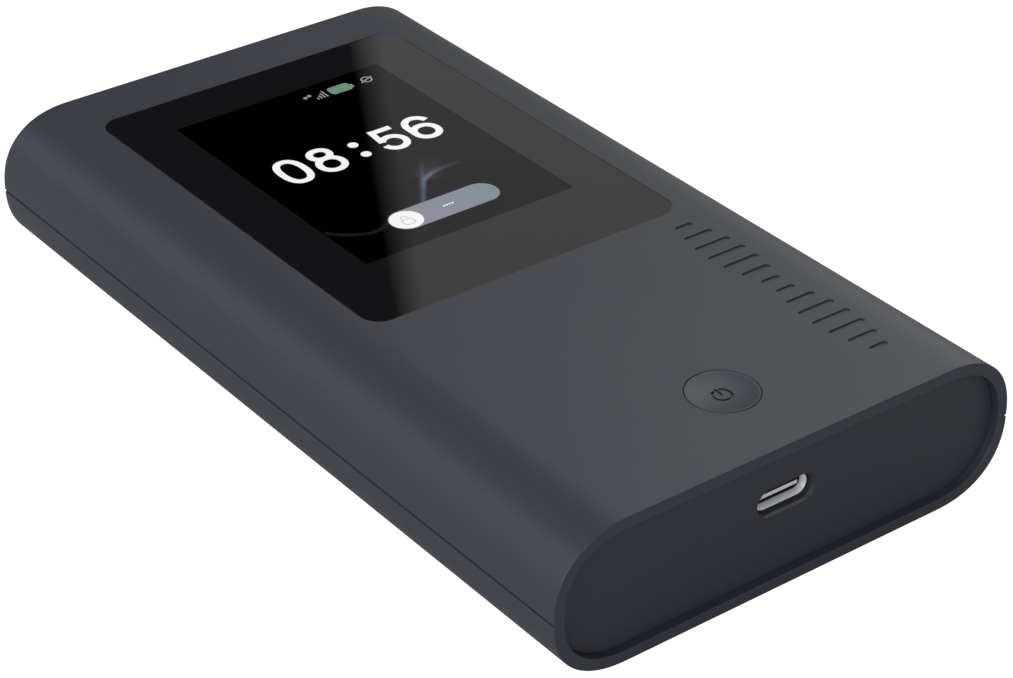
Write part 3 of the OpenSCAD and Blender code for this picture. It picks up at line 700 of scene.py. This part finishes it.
def make_materials():
    """Every finish, by name, in MATERIALS."""
    for name, values in FINISHES.items():
        nodes = surface(name, *values)
        # the mouth finish gets a painted highlight along the port's lower chamfer
        if name == "mouth_plastic":
            paint_mouth_highlight(*nodes)
    for name, (tone, rough, stretch) in METALS.items():
        surface(name, [c * 0.85 for c in tone], tone, rough, 0.15, 0.0012, 5, 0.5, 1.0, stretch)
    make_laminate()
    gloss("display_glass", (0.0106, 0.0104, 0.0122), 0.5)
    gloss("lcd_glass", (0.004, 0.004, 0.005))
    make_glow()
    printed("white_print", (0.9, 0.9, 0.91))
    printed("grey_print", (0.3, 0.3, 0.31))
    printed("soft_print", (0.56, 0.57, 0.6))
    printed("green_print", (0.15, 0.285, 0.18))
    printed("pale_green_print", (0.22, 0.38, 0.27))
    printed("pill_print", (0.25, 0.243, 0.31), (0.198, 0.255, 0.288), -5, 9)


# ---- enclosure


def shell_stations():
    """(y, outer inset, inner inset) of the cross-sections, from the USB end to the SIM end."""
    rim = []
    for run, rise in quarter(RIM_ROUND):
        inset = RIM_ROUND - rise
        rim.append((HALF_L - RIM_ROUND + run, inset, WALL - RIM_OPENING * inset))
    half_slot = FLANGE_T / 2 + CAP_GAP
    slot = FLANGE_INSET - CAP_GAP
    rim += [(FLANGE_Y + half_slot, 0, WALL), (FLANGE_Y + half_slot, 0, slot),
            (FLANGE_Y - half_slot, 0, slot), (FLANGE_Y - half_slot, 0, WALL)]
    return [(-y, a, b) for y, a, b in rim] + rim[::-1]


def half_shell(name, lip_inset, lip_height, sign):
    """Tube half with the rebate or lip of the parting line, the groove and rounded rims."""
    rings = []
    for y, outer, inner in shell_stations():
        section = shell_section(outer, inner, lip_inset, lip_height, sign * (PARTING_Z - MID_Z))
        rings.append([(x, y, MID_Z + sign * height) for x, height in section])
    return mesh_object(name, loft(rings))


def stroke_cutters():
    """Row of sunken strokes beside the button, whose length swells and shrinks twice."""
    parts = []
    for i in range(STROKE_COUNT):
        y = STROKE_Y[0] + (STROKE_Y[1] - STROKE_Y[0]) * i / (STROKE_COUNT - 1)
        swell = abs(math.sin(2 * math.pi * (i + 0.5) / STROKE_COUNT))
        length = STROKE_LENGTH[0] + (STROKE_LENGTH[1] - STROKE_LENGTH[0]) * swell
        cutter = flared(length, STROKE_W, STROKE_W / 2, STROKE_DEPTH, STROKE_FLARE)
        parts.append(placed(cutter, (STROKE_X, y, TOP_Z)))
    return together(parts)


def make_top_shell():
    """Upper half: display pocket, button hole, strokes, and the bosses under the top wall."""
    shell = half_shell("top_shell_fine", LIP_INSET - LIP_GAP, LIP_H + LIP_GAP, 1)
    combine(shell, "UNION", [together([
        at_each(rod(BOSS_R, BOARD_HIGH.z, CEILING_Z + BOSS_BITE), SCREW_SPOTS),
        at_each(rod(FRAME_BOSS_R, FRAME_TOP, CEILING_Z + BITE), FRAME_SPOTS),
        placed(rod(COLLAR_R, CEILING_Z - COLLAR_H, CEILING_Z + BITE, 16), (0, BUTTON_Y, 0)),
    ])])
    pocket = flared(GLASS_HIGH.x - GLASS_LOW.x + 2 * GLASS_GAP,
                    GLASS_HIGH.y - GLASS_LOW.y + 2 * GLASS_GAP,
                    GLASS_R + GLASS_GAP, TOP_Z - LEDGE_Z, POCKET_FLARE)
    window = block((TRAY_LOW.x - WINDOW_GAP, TRAY_LOW.y - WINDOW_GAP, FRAME_TOP - CUT),
                   (TRAY_HIGH.x + WINDOW_GAP, TRAY_HIGH.y + WINDOW_GAP, TOP_Z - CUT))
    hole_r = BUTTON_R + BUTTON_GAP
    hole = flared(2 * hole_r, 2 * hole_r, hole_r, HOLE_DEPTH, HOLE_FLARE, 24)
    combine(shell, "DIFFERENCE", [
        placed(pocket, (0, GLASS_Y, TOP_Z)),
        window,
        placed(rod(COLLAR_BORE_R, CEILING_Z - COLLAR_H - CUT, CEILING_Z, 16), (0, BUTTON_Y, 0)),
        placed(hole, (0, BUTTON_Y, TOP_Z)),
        stroke_cutters(),
        together([at_each(rod(SCREW_R, BOARD_HIGH.z - CUT, BORE_TOP), SCREW_SPOTS),
                  at_each(rod(FRAME_SCREW_R, FRAME_TOP - CUT, FRAME_BORE_TOP), FRAME_SPOTS)]),
    ])
    finished(shell, "shell_plastic", ["top_shell"])


def make_bottom_shell():
    """Lower half: screw bores with rounded mouths, label recess, bosses and battery ribs."""
    shell = half_shell("bottom_shell_fine", LIP_INSET, -LIP_H, -1)
    post = rod(POST_R, WALL - BOSS_BITE, BOARD_LOW.z)
    inside = [placed(post, (x, y, 0)) for x, y in SCREW_SPOTS]
    near, far = RIB_GAPS
    for start, end in ((POUCH_LOW.y - far, POUCH_LOW.y - near), (POUCH_HIGH.y + near, POUCH_HIGH.y + far)):
        inside.append(block((-RIB_X, start, WALL - BITE), (RIB_X, end, WALL + RIB_H)))
    combine(shell, "UNION", inside)
    bore = flared(2 * PLUG_BORE_R, 2 * PLUG_BORE_R, PLUG_BORE_R, SCREW_SEAT_Z, PLUG_FLARE, 12)
    combine(shell, "DIFFERENCE", [
        at_each(bore, SCREW_SPOTS, "down"),
        at_each(rod(SCREW_CLEAR_R, SCREW_SEAT_Z - CUT, BOARD_LOW.z + CUT), SCREW_SPOTS),
        placed(flared(*LABEL_SIZE, LABEL_FLARE), (0, 0, 0), "down"),
    ])
    finished(shell, "shell_plastic", ["bottom_shell"])


def cap_blank(name, end):
    """End plate with a rounded edge, and the flange that sits in the groove of both shells."""
    edge = WALL + CAP_GAP
    stations = [(CAP_HIGH.y - CAP_EASE + run, edge + CAP_EASE - rise)
                for run, rise in quarter(CAP_EASE)]
    for y in (FLANGE_Y + FLANGE_T / 2, FLANGE_Y - FLANGE_T / 2):
        pair = [(y, edge), (y, FLANGE_INSET)]
        stations += pair if y > FLANGE_Y else pair[::-1]
    stations.append((CAP_LOW.y, edge))
    rings = [[(x, end * y, MID_Z + h) for x, h in body_section(inset)] for y, inset in stations]
    return mesh_object(name, loft(rings))


def make_front_cap():
    """End plate with the chamfered mouth of the USB-C port."""
    cap = cap_blank("front_cap_fine", -1)
    height = USB_H + 2 * USB_GAP
    mouth = stacked(USB_W + 2 * USB_GAP, height, height / 2,
                    [(-THROUGH, 0), (-USB_CHAMFER, 0), (0, USB_CHAMFER), (CUT, USB_CHAMFER)], 16)
    combine(cap, "DIFFERENCE", [placed(mouth, (0, -CAP_HIGH.y, USB_Z), "front")])
    # mouth_plastic carries a painted highlight along the lower chamfer of the mouth
    finished(cap, "mouth_plastic", ["front_cap"])


def make_rear_cap():
    """End plate with the stepped SIM slot and the reset pinhole."""
    cap = cap_blank("rear_cap_fine", 1)
    face = flared(SIM_FACE[0] + 2 * SIM_CLEAR, SIM_FACE[1] + 2 * SIM_CLEAR, SIM_FACE_R,
                  SIM_FACE[2] + SIM_CLEAR, SIM_FLARE)
    slot = stacked(SIM_BLADE[0] + 2 * SIM_CLEAR, SIM_BLADE[1] + 2 * SIM_CLEAR, 0.1,
                   [(-THROUGH, 0), (0.5, 0)], 2)
    pin = flared(2 * PINHOLE_R, 2 * PINHOLE_R, PINHOLE_R, THROUGH, PINHOLE_FLARE, 8)
    combine(cap, "DIFFERENCE", [
        placed(part, (x, CAP_HIGH.y, z), "back")
        for part, x, z in ((face, SIM_X, SIM_Z), (slot, SIM_X, SIM_Z), (pin, RESET_X, RESET_Z))
    ])
    finished(cap, "cap_plastic", ["rear_cap"])


# ---- button


def icon_drawing(line):
    """Ring that is open at its far side, crossed by a short bar."""
    half_gap = math.degrees(math.asin(ICON_GAP / ICON_R)) + 3
    ring = oval((0, 0), (ICON_R, ICON_R), 90 + half_gap, 450 - half_gap, steps=40)
    bar = [(0, ICON_R + 0.1), (0, ICON_R + 0.1 - ICON_BAR)]
    drawing = drawn(ring, line) + drawn(bar, line)
    for spot in (ring[0], ring[-1], *bar):
        drawing += disc(*spot, line / 2, 16)
    return drawing


def make_button():
    """Dished cap with a soft rim, its flange and stem, and the sunken power symbol."""
    dish_r = BUTTON_R - DISH_RIM
    sphere_r = (dish_r**2 + DISH_DEPTH**2) / (2 * DISH_DEPTH)
    dish_low = TOP_Z - DISH_DEPTH
    profile = [(0.0, dish_low)]
    steps = 14
    for i in range(1, steps):
        radius = dish_r * 0.965 * i / (steps - 1)
        profile.append((radius, dish_low + sphere_r - math.sqrt(sphere_r**2 - radius**2)))
    rim_z = TOP_Z - BUTTON_SINK
    profile += [(BUTTON_R - BUTTON_EASE + run, rim_z - BUTTON_EASE + rise)
                for run, rise in reversed(quarter(BUTTON_EASE))]
    flange_low = BUTTON_FLANGE_TOP - BUTTON_FLANGE_H
    profile += [(BUTTON_R, BUTTON_FLANGE_TOP), (BUTTON_FLANGE_R, BUTTON_FLANGE_TOP),
                (BUTTON_FLANGE_R, flange_low), (STEM_R, flange_low), (STEM_R, BUTTON_LOW.z),
                (0.0, BUTTON_LOW.z)]
    button = mesh_object("power_button_fine", placed(lathe(profile), (0, BUTTON_Y, 0)))
    icon = flat(moved(icon_drawing(ICON_LINE), 0, BUTTON_Y), dish_low - ICON_DEPTH, TOP_Z + 1)
    combine(button, "DIFFERENCE", [icon])
    finished(button, "button_plastic", ["power_button"], "button")


# ---- USB-C port


def make_usb_shell():
    """Drawn steel sleeve whose rounded lip opens like a funnel."""
    front = USB_LOW.y + USB_SINK
    stations = [(USB_HIGH.y, 0.0)]
    stations += [(front + USB_LIP - y, x - USB_LIP) for x, y in turned(USB_LIP, 0, 150, 6)]
    stations += [(front + USB_FLARE, -USB_WALL), (USB_HIGH.y, -USB_WALL)]
    rings = [[(x, y, USB_Z + z) for x, z in outline(USB_W, USB_H, USB_H / 2, grow, 16)]
             for y, grow in stations]
    finished(mesh_object("usb_shell_fine", loft(rings, loop=True)), "usb_steel", ["usb_shell"])


def make_usb_tongue():
    """Thin tongue in its base block, a dark plastic liner deep in the sleeve as painted shade for the
    shadow under the tongue, and the steel rim along its tip.
    """
    base_w = USB_W - 2 * USB_WALL - SLEEVE_GAP
    base_h = USB_H - 2 * USB_WALL - SLEEVE_GAP
    tip = (0, TONGUE_LOW.y + TONGUE_SINK, USB_Z)
    depth = TONGUE_HIGH.y - tip[1]
    blade = eased(TONGUE_W, TONGUE_T, TONGUE_R, -depth + 0.5, 0, 0.1, 4)
    base = eased(base_w, base_h, base_h / 2, -depth, -depth + TONGUE_BASE, 0.05, 12)
    shade_liner_y = USB_LOW.y + USB_SHADE_LINER - tip[1]
    # dark liner along the sleeve's walls: painted shade where the tongue shades the floor
    shade_liner = eased(base_w, base_h, base_h / 2, -depth, -shade_liner_y, 0.05, 12)
    cavity = stacked(base_w - 2 * SHADE_LINER_T, base_h - 2 * SHADE_LINER_T, base_h / 2 - SHADE_LINER_T,
                     [(1 - depth, 0), (CUT, 0)], 12)
    tongue = mesh_object("usb_tongue_fine", placed(shade_liner, tip, "front"))
    combine(tongue, "DIFFERENCE", [placed(cavity, tip, "front")])
    combine(tongue, "UNION", [placed(base, tip, "front"), placed(blade, tip, "front")])
    finished(tongue, "usb_plastic", ["usb_tongue"])
    edge = eased(TONGUE_W - 0.1, TONGUE_T - 0.14, TONGUE_R, -0.1, 0.03, 0.04, 4)
    finished(mesh_object("usb_tongue_edge", placed(edge, tip, "front")), "usb_steel")


# ---- display

LIT_LOW = (-18.4, 0.4)
LIT_HIGH = (18.5, 50.7)
LIT_R = 0.4
GLOW_LENGTH = 26.0    # how much of the lit area, from its near edge, the picture covers
GLOW_STEP = 0.25


def make_glass():
    """Cover glass with a ground edge, printed black behind."""
    width = GLASS_HIGH.x - GLASS_LOW.x
    length = GLASS_HIGH.y - GLASS_LOW.y
    levels = [(GLASS_LOW.z, 0.0)]
    levels += [(GLASS_TOP - GLASS_EASE + rise, run - GLASS_EASE) for run, rise in quarter(GLASS_EASE)]
    glass = placed(stacked(width, length, GLASS_R, levels, 16), (0, GLASS_Y, 0))
    finished(mesh_object("cover_glass_fine", glass), "display_glass", ["cover_glass"])


def nearest(path, x, y):
    """(distance, share of the path's length, side) of a point from a line of points."""
    best = (1e9, 0.0, 1.0)
    for i, (a, b) in enumerate(zip(path, path[1:])):
        dx, dy = b[0] - a[0], b[1] - a[1]
        share = max(0.0, min(1.0, ((x - a[0]) * dx + (y - a[1]) * dy) / (dx * dx + dy * dy)))
        gap = math.hypot(x - a[0] - share * dx, y - a[1] - share * dy)
        if gap < best[0]:
            side = 1.0 if dx * (y - a[1]) - dy * (x - a[0]) > 0 else -1.0
            best = (gap, (i + share) / (len(path) - 1), side)
    return best


def curved(points, steps=8):
    """Smooth line through points."""
    path = []
    ends = [points[0]] + list(points) + [points[-1]]
    for a, b, c, d in zip(ends, ends[1:], ends[2:], ends[3:]):
        for i in range(steps):
            t = i / steps
            path.append(tuple(
                0.5 * (2 * b[k] + (c[k] - a[k]) * t + (2 * a[k] - 5 * b[k] + 4 * c[k] - d[k]) * t**2
                       + (3 * b[k] - a[k] - 3 * c[k] + d[k]) * t**3) for k in (0, 1)))
    return path + [points[-1]]


# light curves of the idle picture: points, colour, width to the left and right, fade-in, fade-out
CURVES = [(curved(points), *rest) for points, *rest in (
    ([(-2.4, 8.7), (-1.4, 10.2), (0.4, 12.7), (2.2, 15.1), (3.2, 15.7)],
     (0.056, 0.074, 0.122), (0.46, 0.28), 0.05, 0.35),
    ([(0.6, 13.0), (2.3, 15.1), (3.75, 15.9), (5.0, 16.4), (7.0, 16.65), (10.5, 16.6)],
     (0.120, 0.132, 0.205), (0.55, 0.22), 0.42, 0.62),
    ([(2.2, 15.2), (3.4, 17.3), (6.0, 21.2)], (0.036, 0.042, 0.062), (0.32, 0.32), 0.1, 0.7),
    ([(2.6, 15.4), (5.0, 17.6), (8.0, 20.0)], (0.022, 0.024, 0.034), (1.7, 1.7), 0.2, 0.8),
    ([(-19.0, 12.2), (-16.2, 9.1), (-13.0, 7.3), (-10.6, 7.5), (-8.8, 8.4)],
     (0.011, 0.012, 0.015), (0.30, 0.42), 0.1, 0.1),
)]


def glow_at(x, y):
    """Colour of the idle picture at a point of the lit area."""
    total = [0.0, 0.0, 0.0]
    for path, colour, widths, fade_in, fade_out in CURVES:
        gap, share, side = nearest(path, x, y)
        width = widths[0] if side > 0 else widths[1]
        level = math.exp(-((gap / width) ** 2))
        level *= min(1.0, share / fade_in) * min(1.0, (1 - share) / fade_out)
        total = [t + level * c for t, c in zip(total, colour)]
    return total


def make_lit_area():
    """Dark lit area with its soft picture, as a plate with a fine grid of points."""
    width = LIT_HIGH[0] - LIT_LOW[0]
    length = LIT_HIGH[1] - LIT_LOW[1]
    middle = ((LIT_LOW[0] + LIT_HIGH[0]) / 2, (LIT_LOW[1] + LIT_HIGH[1]) / 2)
    edge = moved([outline(width, length, LIT_R, 0, 6)], *middle)
    grid = [(LIT_LOW[0] + i * GLOW_STEP, LIT_LOW[1] + j * GLOW_STEP)
            for i in range(1, int(width / GLOW_STEP)) for j in range(1, int(GLOW_LENGTH / GLOW_STEP))]
    area = mesh_object("display_lit_area", flat(edge, GLASS_TOP - 0.02, GLASS_TOP + LAYER, grid))
    glow = area.data.attributes.new("glow", "FLOAT_COLOR", "POINT")
    values = []
    for vertex in area.data.vertices:
        x, y, z = vertex.co
        lit = z > GLASS_TOP and y < LIT_LOW[1] + GLOW_LENGTH
        values += [*(glow_at(x, y) if lit else (0, 0, 0)), 1.0]
    glow.data.foreach_set("color", values)
    finished(area, "display_glow")


def print_piece(name, polygons, finish, level):
    """Flat lit shape on the display, a given number of layers above the glass."""
    low = GLASS_TOP + LAYER * (level - 1)
    finished(mesh_object(name, flat(polygons, low, low + LAYER)), finish)


def clock_digits():
    """Clock of four digits and a colon in a plain rounded face, placed in millimetres on the glass."""
    line = 1.13
    zero = drawn(oval((-11.55, 29.05), (1.93, 3.32), power=2.35)[:-1], line, True)
    eight = drawn(oval((-5.62, 31.02), (1.56, 1.42), power=2.1)[:-1], line, True)
    eight += drawn(oval((-5.64, 27.65), (1.90, 1.95), power=2.1)[:-1], line, True)
    colon = disc(0.12, 30.55, 0.84) + disc(0.12, 27.05, 0.84)
    five = drawn([(3.95, 31.93), (7.85, 31.93)], line)
    five += drawn([(4.50, 32.55), (4.06, 28.45)], line * 0.92)
    five += drawn(oval((5.74, 27.63), (1.86, 1.90), 152, -172), line)
    six = drawn(oval((11.66, 27.66), (1.90, 1.92), power=2.1)[:-1], line, True)
    six += drawn(oval((11.78, 29.9), (2.02, 2.36), 20, 180) + [(9.76, 28.9), (9.76, 27.6)], line)
    return {"clock_digit_0": zero, "clock_digit_8": eight, "clock_colon": colon,
            "clock_digit_5": five, "clock_digit_6": six}


def status_icons():
    """Small marks along the top edge: signal bars, battery and a crossed ring."""
    bars = disc(2.95, 47.6, 0.36, 16) + disc(3.8, 47.85, 0.36, 16)
    for i in range(4):
        x = 4.5 + 0.56 * i
        bars += drawn([(x, 46.0), (x, 46.6 + 0.5 * i)], 0.25)
    case, filling = [moved([outline(3.9, 2.35, 0.7, grow, 6)], 9.05, 47.1) for grow in (-0.12, -0.32)]
    battery = drawn(case[0], 0.22, True)
    nub = drawn([(11.2, 46.35), (11.2, 47.35)], 0.3)
    ring = drawn(oval((14.15, 47.2), (0.84, 0.84), steps=24)[:-1], 0.26, True)
    ring += drawn([(12.9, 46.65), (15.4, 47.75)], 0.26)
    return bars + nub + ring, battery, filling


def lock_drawing():
    """Open outline of a padlock."""
    body = moved([outline(1.7, 1.45, 0.3, 0, 4)], -6.62, 6.62)[0]
    shackle = [(-7.12, 7.3)] + oval((-6.62, 7.75), (0.5, 0.6), 180, 0, steps=12) + [(-6.12, 7.3)]
    return drawn(body, 0.2, True) + drawn(shackle, 0.2)


def make_display():
    """The glass, the lit area and everything drawn on it."""
    make_glass()
    make_lit_area()
    for name, polygons in clock_digits().items():
        print_piece(name, polygons, "white_print", 2)
    marks, battery, filling = status_icons()
    print_piece("status_marks", marks, "grey_print", 2)
    print_piece("status_battery", battery, "pale_green_print", 2)
    print_piece("status_battery_level", filling, "green_print", 2)
    pill = moved([outline(18.8, 5.5, 2.75, 0, 12)], 0.1, 7.25)
    print_piece("slider_track", pill, "pill_print", 2)
    print_piece("slider_knob", disc(-6.62, 7.25, 2.55, 48), "white_print", 3)
    print_piece("slider_lock", lock_drawing(), "soft_print", 4)
    dots = [p for x in (0.1, 0.6, 1.1, 1.6) for p in disc(x, 7.3, 0.2, 12)]
    print_piece("slider_dots", dots, "white_print", 3)


# ---- other pieces


def softened(node, width, finish, body="housing"):
    """CAD shape rebuilt with small rounded edges."""
    piece = new_object(node + "_fine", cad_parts[node].data.copy())
    piece.data.transform(Matrix.Scale(1 / MM, 4))
    work = bmesh.new()
    work.from_mesh(piece.data)
    bmesh.ops.remove_doubles(work, verts=work.verts, dist=1e-4)
    bmesh.ops.dissolve_limit(work, angle_limit=math.radians(0.5), verts=work.verts, edges=work.edges)
    work.to_mesh(piece.data)
    work.free()
    bevel = piece.modifiers.new("soft_edges", "BEVEL")
    bevel.width = width
    bevel.segments = 3
    bevel.limit_method = "ANGLE"
    bevel.angle_limit = SHARP_ANGLE
    settle(piece)
    finished(piece, finish, [node], body)


def make_plugs():
    """Four rubber plugs with a domed edge, over the case screws."""
    low, high = node_box("screw_plugs")
    profile = [(0.0, high.z), (PLUG_R, high.z)]
    profile += [(PLUG_R - PLUG_EASE + run, low.z + PLUG_EASE - rise)
                for run, rise in quarter(PLUG_EASE)]
    profile.append((0.0, low.z))
    plugs = mesh_object("screw_plugs_fine", at_each(lathe(profile, 48), SCREW_SPOTS))
    finished(plugs, "plug_rubber", ["screw_plugs"])


CARRIED = {
    "adhesive": "glass_adhesive",
    "clear_adhesive": "optical_adhesive",
    "lcd_glass": "lcd_panel",
    "backlight_plastic": "lcd_backlight",
    "sheet_steel": "lcd_tray modem_shield radio_shield wifi_shield sim_socket",
    "flex_film": "lcd_flex",
    "connector_plastic": "lcd_connector reset_switch battery_plug battery_socket",
    "frame_plastic": "mid_frame antenna_carrier_left antenna_carrier_right",
    "screw_steel": "frame_screws case_screws",
    "spreader_aluminium": "heat_spreader",
    "thermal_rubber": "thermal_pads battery_pad",
    "chip_epoxy": "board_chips",
    "board_laminate": "main_board battery_board",
    "gold_contact": "usb_contacts antenna_springs",
    "switch_plastic": "switch_body",
    "copper_foil": "antenna_foil_left antenna_foil_right wifi_antennas",
}


def dress_carried_nodes():
    """Gives the CAD nodes whose shape is kept their finish."""
    for finish, nodes in CARRIED.items():
        for node in nodes.split():
            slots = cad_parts[node].data.materials
            slots.clear()
            slots.append(MATERIALS[finish])


make_materials()
make_top_shell()
make_bottom_shell()
make_front_cap()
make_rear_cap()
make_button()
make_usb_shell()
make_usb_tongue()
make_display()
make_plugs()
softened("rating_label", 0.04, "label_film")
softened("sim_tray", 0.12, "tray_plastic", "tray")
softened("sim_card", 0.05, "card_plastic", "tray")
softened("switch_plunger", 0.1, "switch_plastic", "button")
softened("reset_plunger", 0.1, "card_plastic", "reset_pin")
softened("battery_pouch", 0.12, "pouch_foil")
softened("battery_lead_positive", 0.05, "lead_red")
softened("battery_lead_negative", 0.05, "lead_black")
dress_carried_nodes()

# ---- camera, floor and lights

CAMERA_PLACE = Vector((-213.57, -290.02, 228.24)) * MM
CAMERA_AZIMUTH = math.radians(-37.117)
CAMERA_ELEVATION = math.radians(31.985)
CAMERA_LENS = 103.06
SENSOR_W = 36.0
FLOOR_HALF = 6.0
BOUNCE_TONE = 0.53


def aimed(obj, place, direction):
    """Places a camera or light, which then looks along a direction."""
    obj.location = place
    obj.rotation_mode = "QUATERNION"
    obj.rotation_quaternion = direction.to_track_quat("-Z", "Y")


def make_camera():
    """Camera at the viewing angle of the photograph."""
    data = bpy.data.cameras.new("camera")
    data.lens = CAMERA_LENS
    data.sensor_width = SENSOR_W
    data.clip_start = 0.01
    data.clip_end = 20
    camera = new_object("camera", data)
    back = Vector((math.sin(CAMERA_AZIMUTH) * math.cos(CAMERA_ELEVATION),
                   -math.cos(CAMERA_AZIMUTH) * math.cos(CAMERA_ELEVATION),
                   math.sin(CAMERA_ELEVATION)))
    aimed(camera, CAMERA_PLACE, -back)
    bpy.context.scene.camera = camera


def stage_quad(name, corners, material):
    """Flat four-cornered piece of the studio, in metres, with UV from 0 to 1."""
    mesh = bpy.data.meshes.new(name)
    mesh.from_pydata(corners, [], [(0, 1, 2, 3)])
    layer = mesh.uv_layers.new(name="UVMap")
    for loop, uv in zip(layer.data, ((0, 0), (1, 0), (1, 1), (0, 1))):
        loop.uv = uv
    mesh.materials.append(material)
    quad = new_object(name, mesh)
    return quad


def level_quad(name, height, material):
    """Square level piece round the origin."""
    corners = [(x * FLOOR_HALF, y * FLOOR_HALF, height) for x, y in ((-1, -1), (1, -1), (1, 1), (-1, 1))]
    return stage_quad(name, corners, material)


def floor_material(name, tone, glow):
    """Pale matt floor with a faint mottle."""
    material, tree, shader = new_material(name)
    mottle = noise(tree, stretched(tree), 60)
    feed(shader, {"Base Color": blended(tree, mottle, [tone * 0.99] * 3, [tone] * 3), "Roughness": 0.9,
                  "Specular IOR Level": 0.0, "Emission Color": (1, 1, 1), "Emission Strength": glow})
    return material


def make_floor():
    """Pale floor that the camera sees, and a greyer one that lights the object from below."""
    seen = level_quad("floor", -0.0002, floor_material("pale_floor", 0.25, 1.0))
    seen.visible_diffuse = False
    seen.visible_glossy = False
    seen.visible_shadow = False
    bounce = level_quad("bounce", -0.0003, floor_material("grey_floor", BOUNCE_TONE, 0.0))
    bounce.visible_camera = False


# the far edge of the card's reflection in the glass runs through these two points of the top
CARD_EDGE = ((19.15, 59.5), (-23.2, -13.6))
CARD_AZIMUTH = math.radians(58)
CARD_DISTANCE = 1.1
CARD_COLUMNS = (0.0, 0.42, 0.95)
CARD_ROWS = (0.01, 0.42, 0.92, 1.6)
# radiance of the near and the far column, from the lowest row up
CARD_GLOW = ((0.20, 0.53, 5.0), (1.07, 2.92, 0.0))
SOFT_EDGE = 0.052


def card_material(name, strength):
    """Lit card whose brightness rises over a short way from its left edge."""
    material, tree, shader = new_material(name, "Emission")
    feed(shader, {"Strength": between(tree, axes(tree, "UV")["X"], 0, strength, 0, SOFT_EDGE)})
    return material


def make_cards():
    """Lit cards behind the far right corner: they show in the glass and give the top its sheen."""
    mirror_eye = Vector((CAMERA_PLACE.x, CAMERA_PLACE.y, 2 * TOP_Z * MM - CAMERA_PLACE.z))
    facing = Vector((math.sin(CARD_AZIMUTH), math.cos(CARD_AZIMUTH), 0))
    hits = []
    for x, y in CARD_EDGE:
        ray = Vector((x * MM, y * MM, TOP_Z * MM)) - mirror_eye
        hits.append(mirror_eye + ray * ((CARD_DISTANCE - mirror_eye.dot(facing)) / ray.dot(facing)))
    rise = (hits[1] - hits[0]) / (hits[1].z - hits[0].z)
    across = Vector((facing.y, -facing.x, 0))

    def corner(step, height):
        return hits[0] + rise * (height - hits[0].z) + across * step

    for glows, left, right in zip(CARD_GLOW, CARD_COLUMNS, CARD_COLUMNS[1:]):
        for glow, low, high in zip(glows, CARD_ROWS, CARD_ROWS[1:]):
            if glow:
                name = f"card_{left:.2f}_{low:.2f}"
                corners = [corner(left, low), corner(right, low), corner(right, high), corner(left, high)]
                card = stage_quad(name, corners, card_material(name, glow))
                card.visible_camera = False


def make_world():
    """White backdrop for the camera alone."""
    world = bpy.data.worlds.new("studio")
    world.use_nodes = True
    feed(world.node_tree.nodes["Background"], {"Color": (1, 1, 1)})
    bpy.context.scene.world = world
    for kind in ("diffuse", "glossy", "transmission", "scatter"):
        setattr(world.cycles_visibility, kind, False)


# name, place, width and height in metres, and radiance
LIGHTS = [
    ("over_left", (-0.6, 0.0, 0.9), (0.8, 0.8), 0.97),
    ("left", (-0.95, 0.1, 0.65), (0.9, 0.7), 1.01),
    ("left_low", (-1.0, -0.06, 0.3), (0.9, 0.4), 3.9),
    ("back_left", (-0.62, 0.8, 0.5), (0.7, 0.5), 1.36),
    ("front_left", (-0.5, -0.95, 0.35), (0.9, 0.5), 2.95),
    ("front", (-0.1, -0.85, 0.95), (0.8, 0.5), 1.0),
    ("right_front", (0.8, -0.7, 0.4), (0.6, 0.5), 1.3),
    ("back_top", (0.0, 0.9, 0.95), (1.0, 0.5), 0.5),
]


def make_lights():
    """Soft rectangular lights round the object, aimed at its middle."""
    for name, place, (width, height), radiance in LIGHTS:
        data = bpy.data.lights.new(name, "AREA")
        data.shape = "RECTANGLE"
        data.size = width
        data.size_y = height
        data.energy = radiance * math.pi * width * height
        light = new_object(name, data)
        light.visible_camera = False
        aimed(light, place, Vector((0, 0, MID_Z * MM)) - Vector(place))


make_camera()
make_world()
make_floor()
make_cards()
make_lights()
bpy.context.scene.view_settings.view_transform = "Standard"
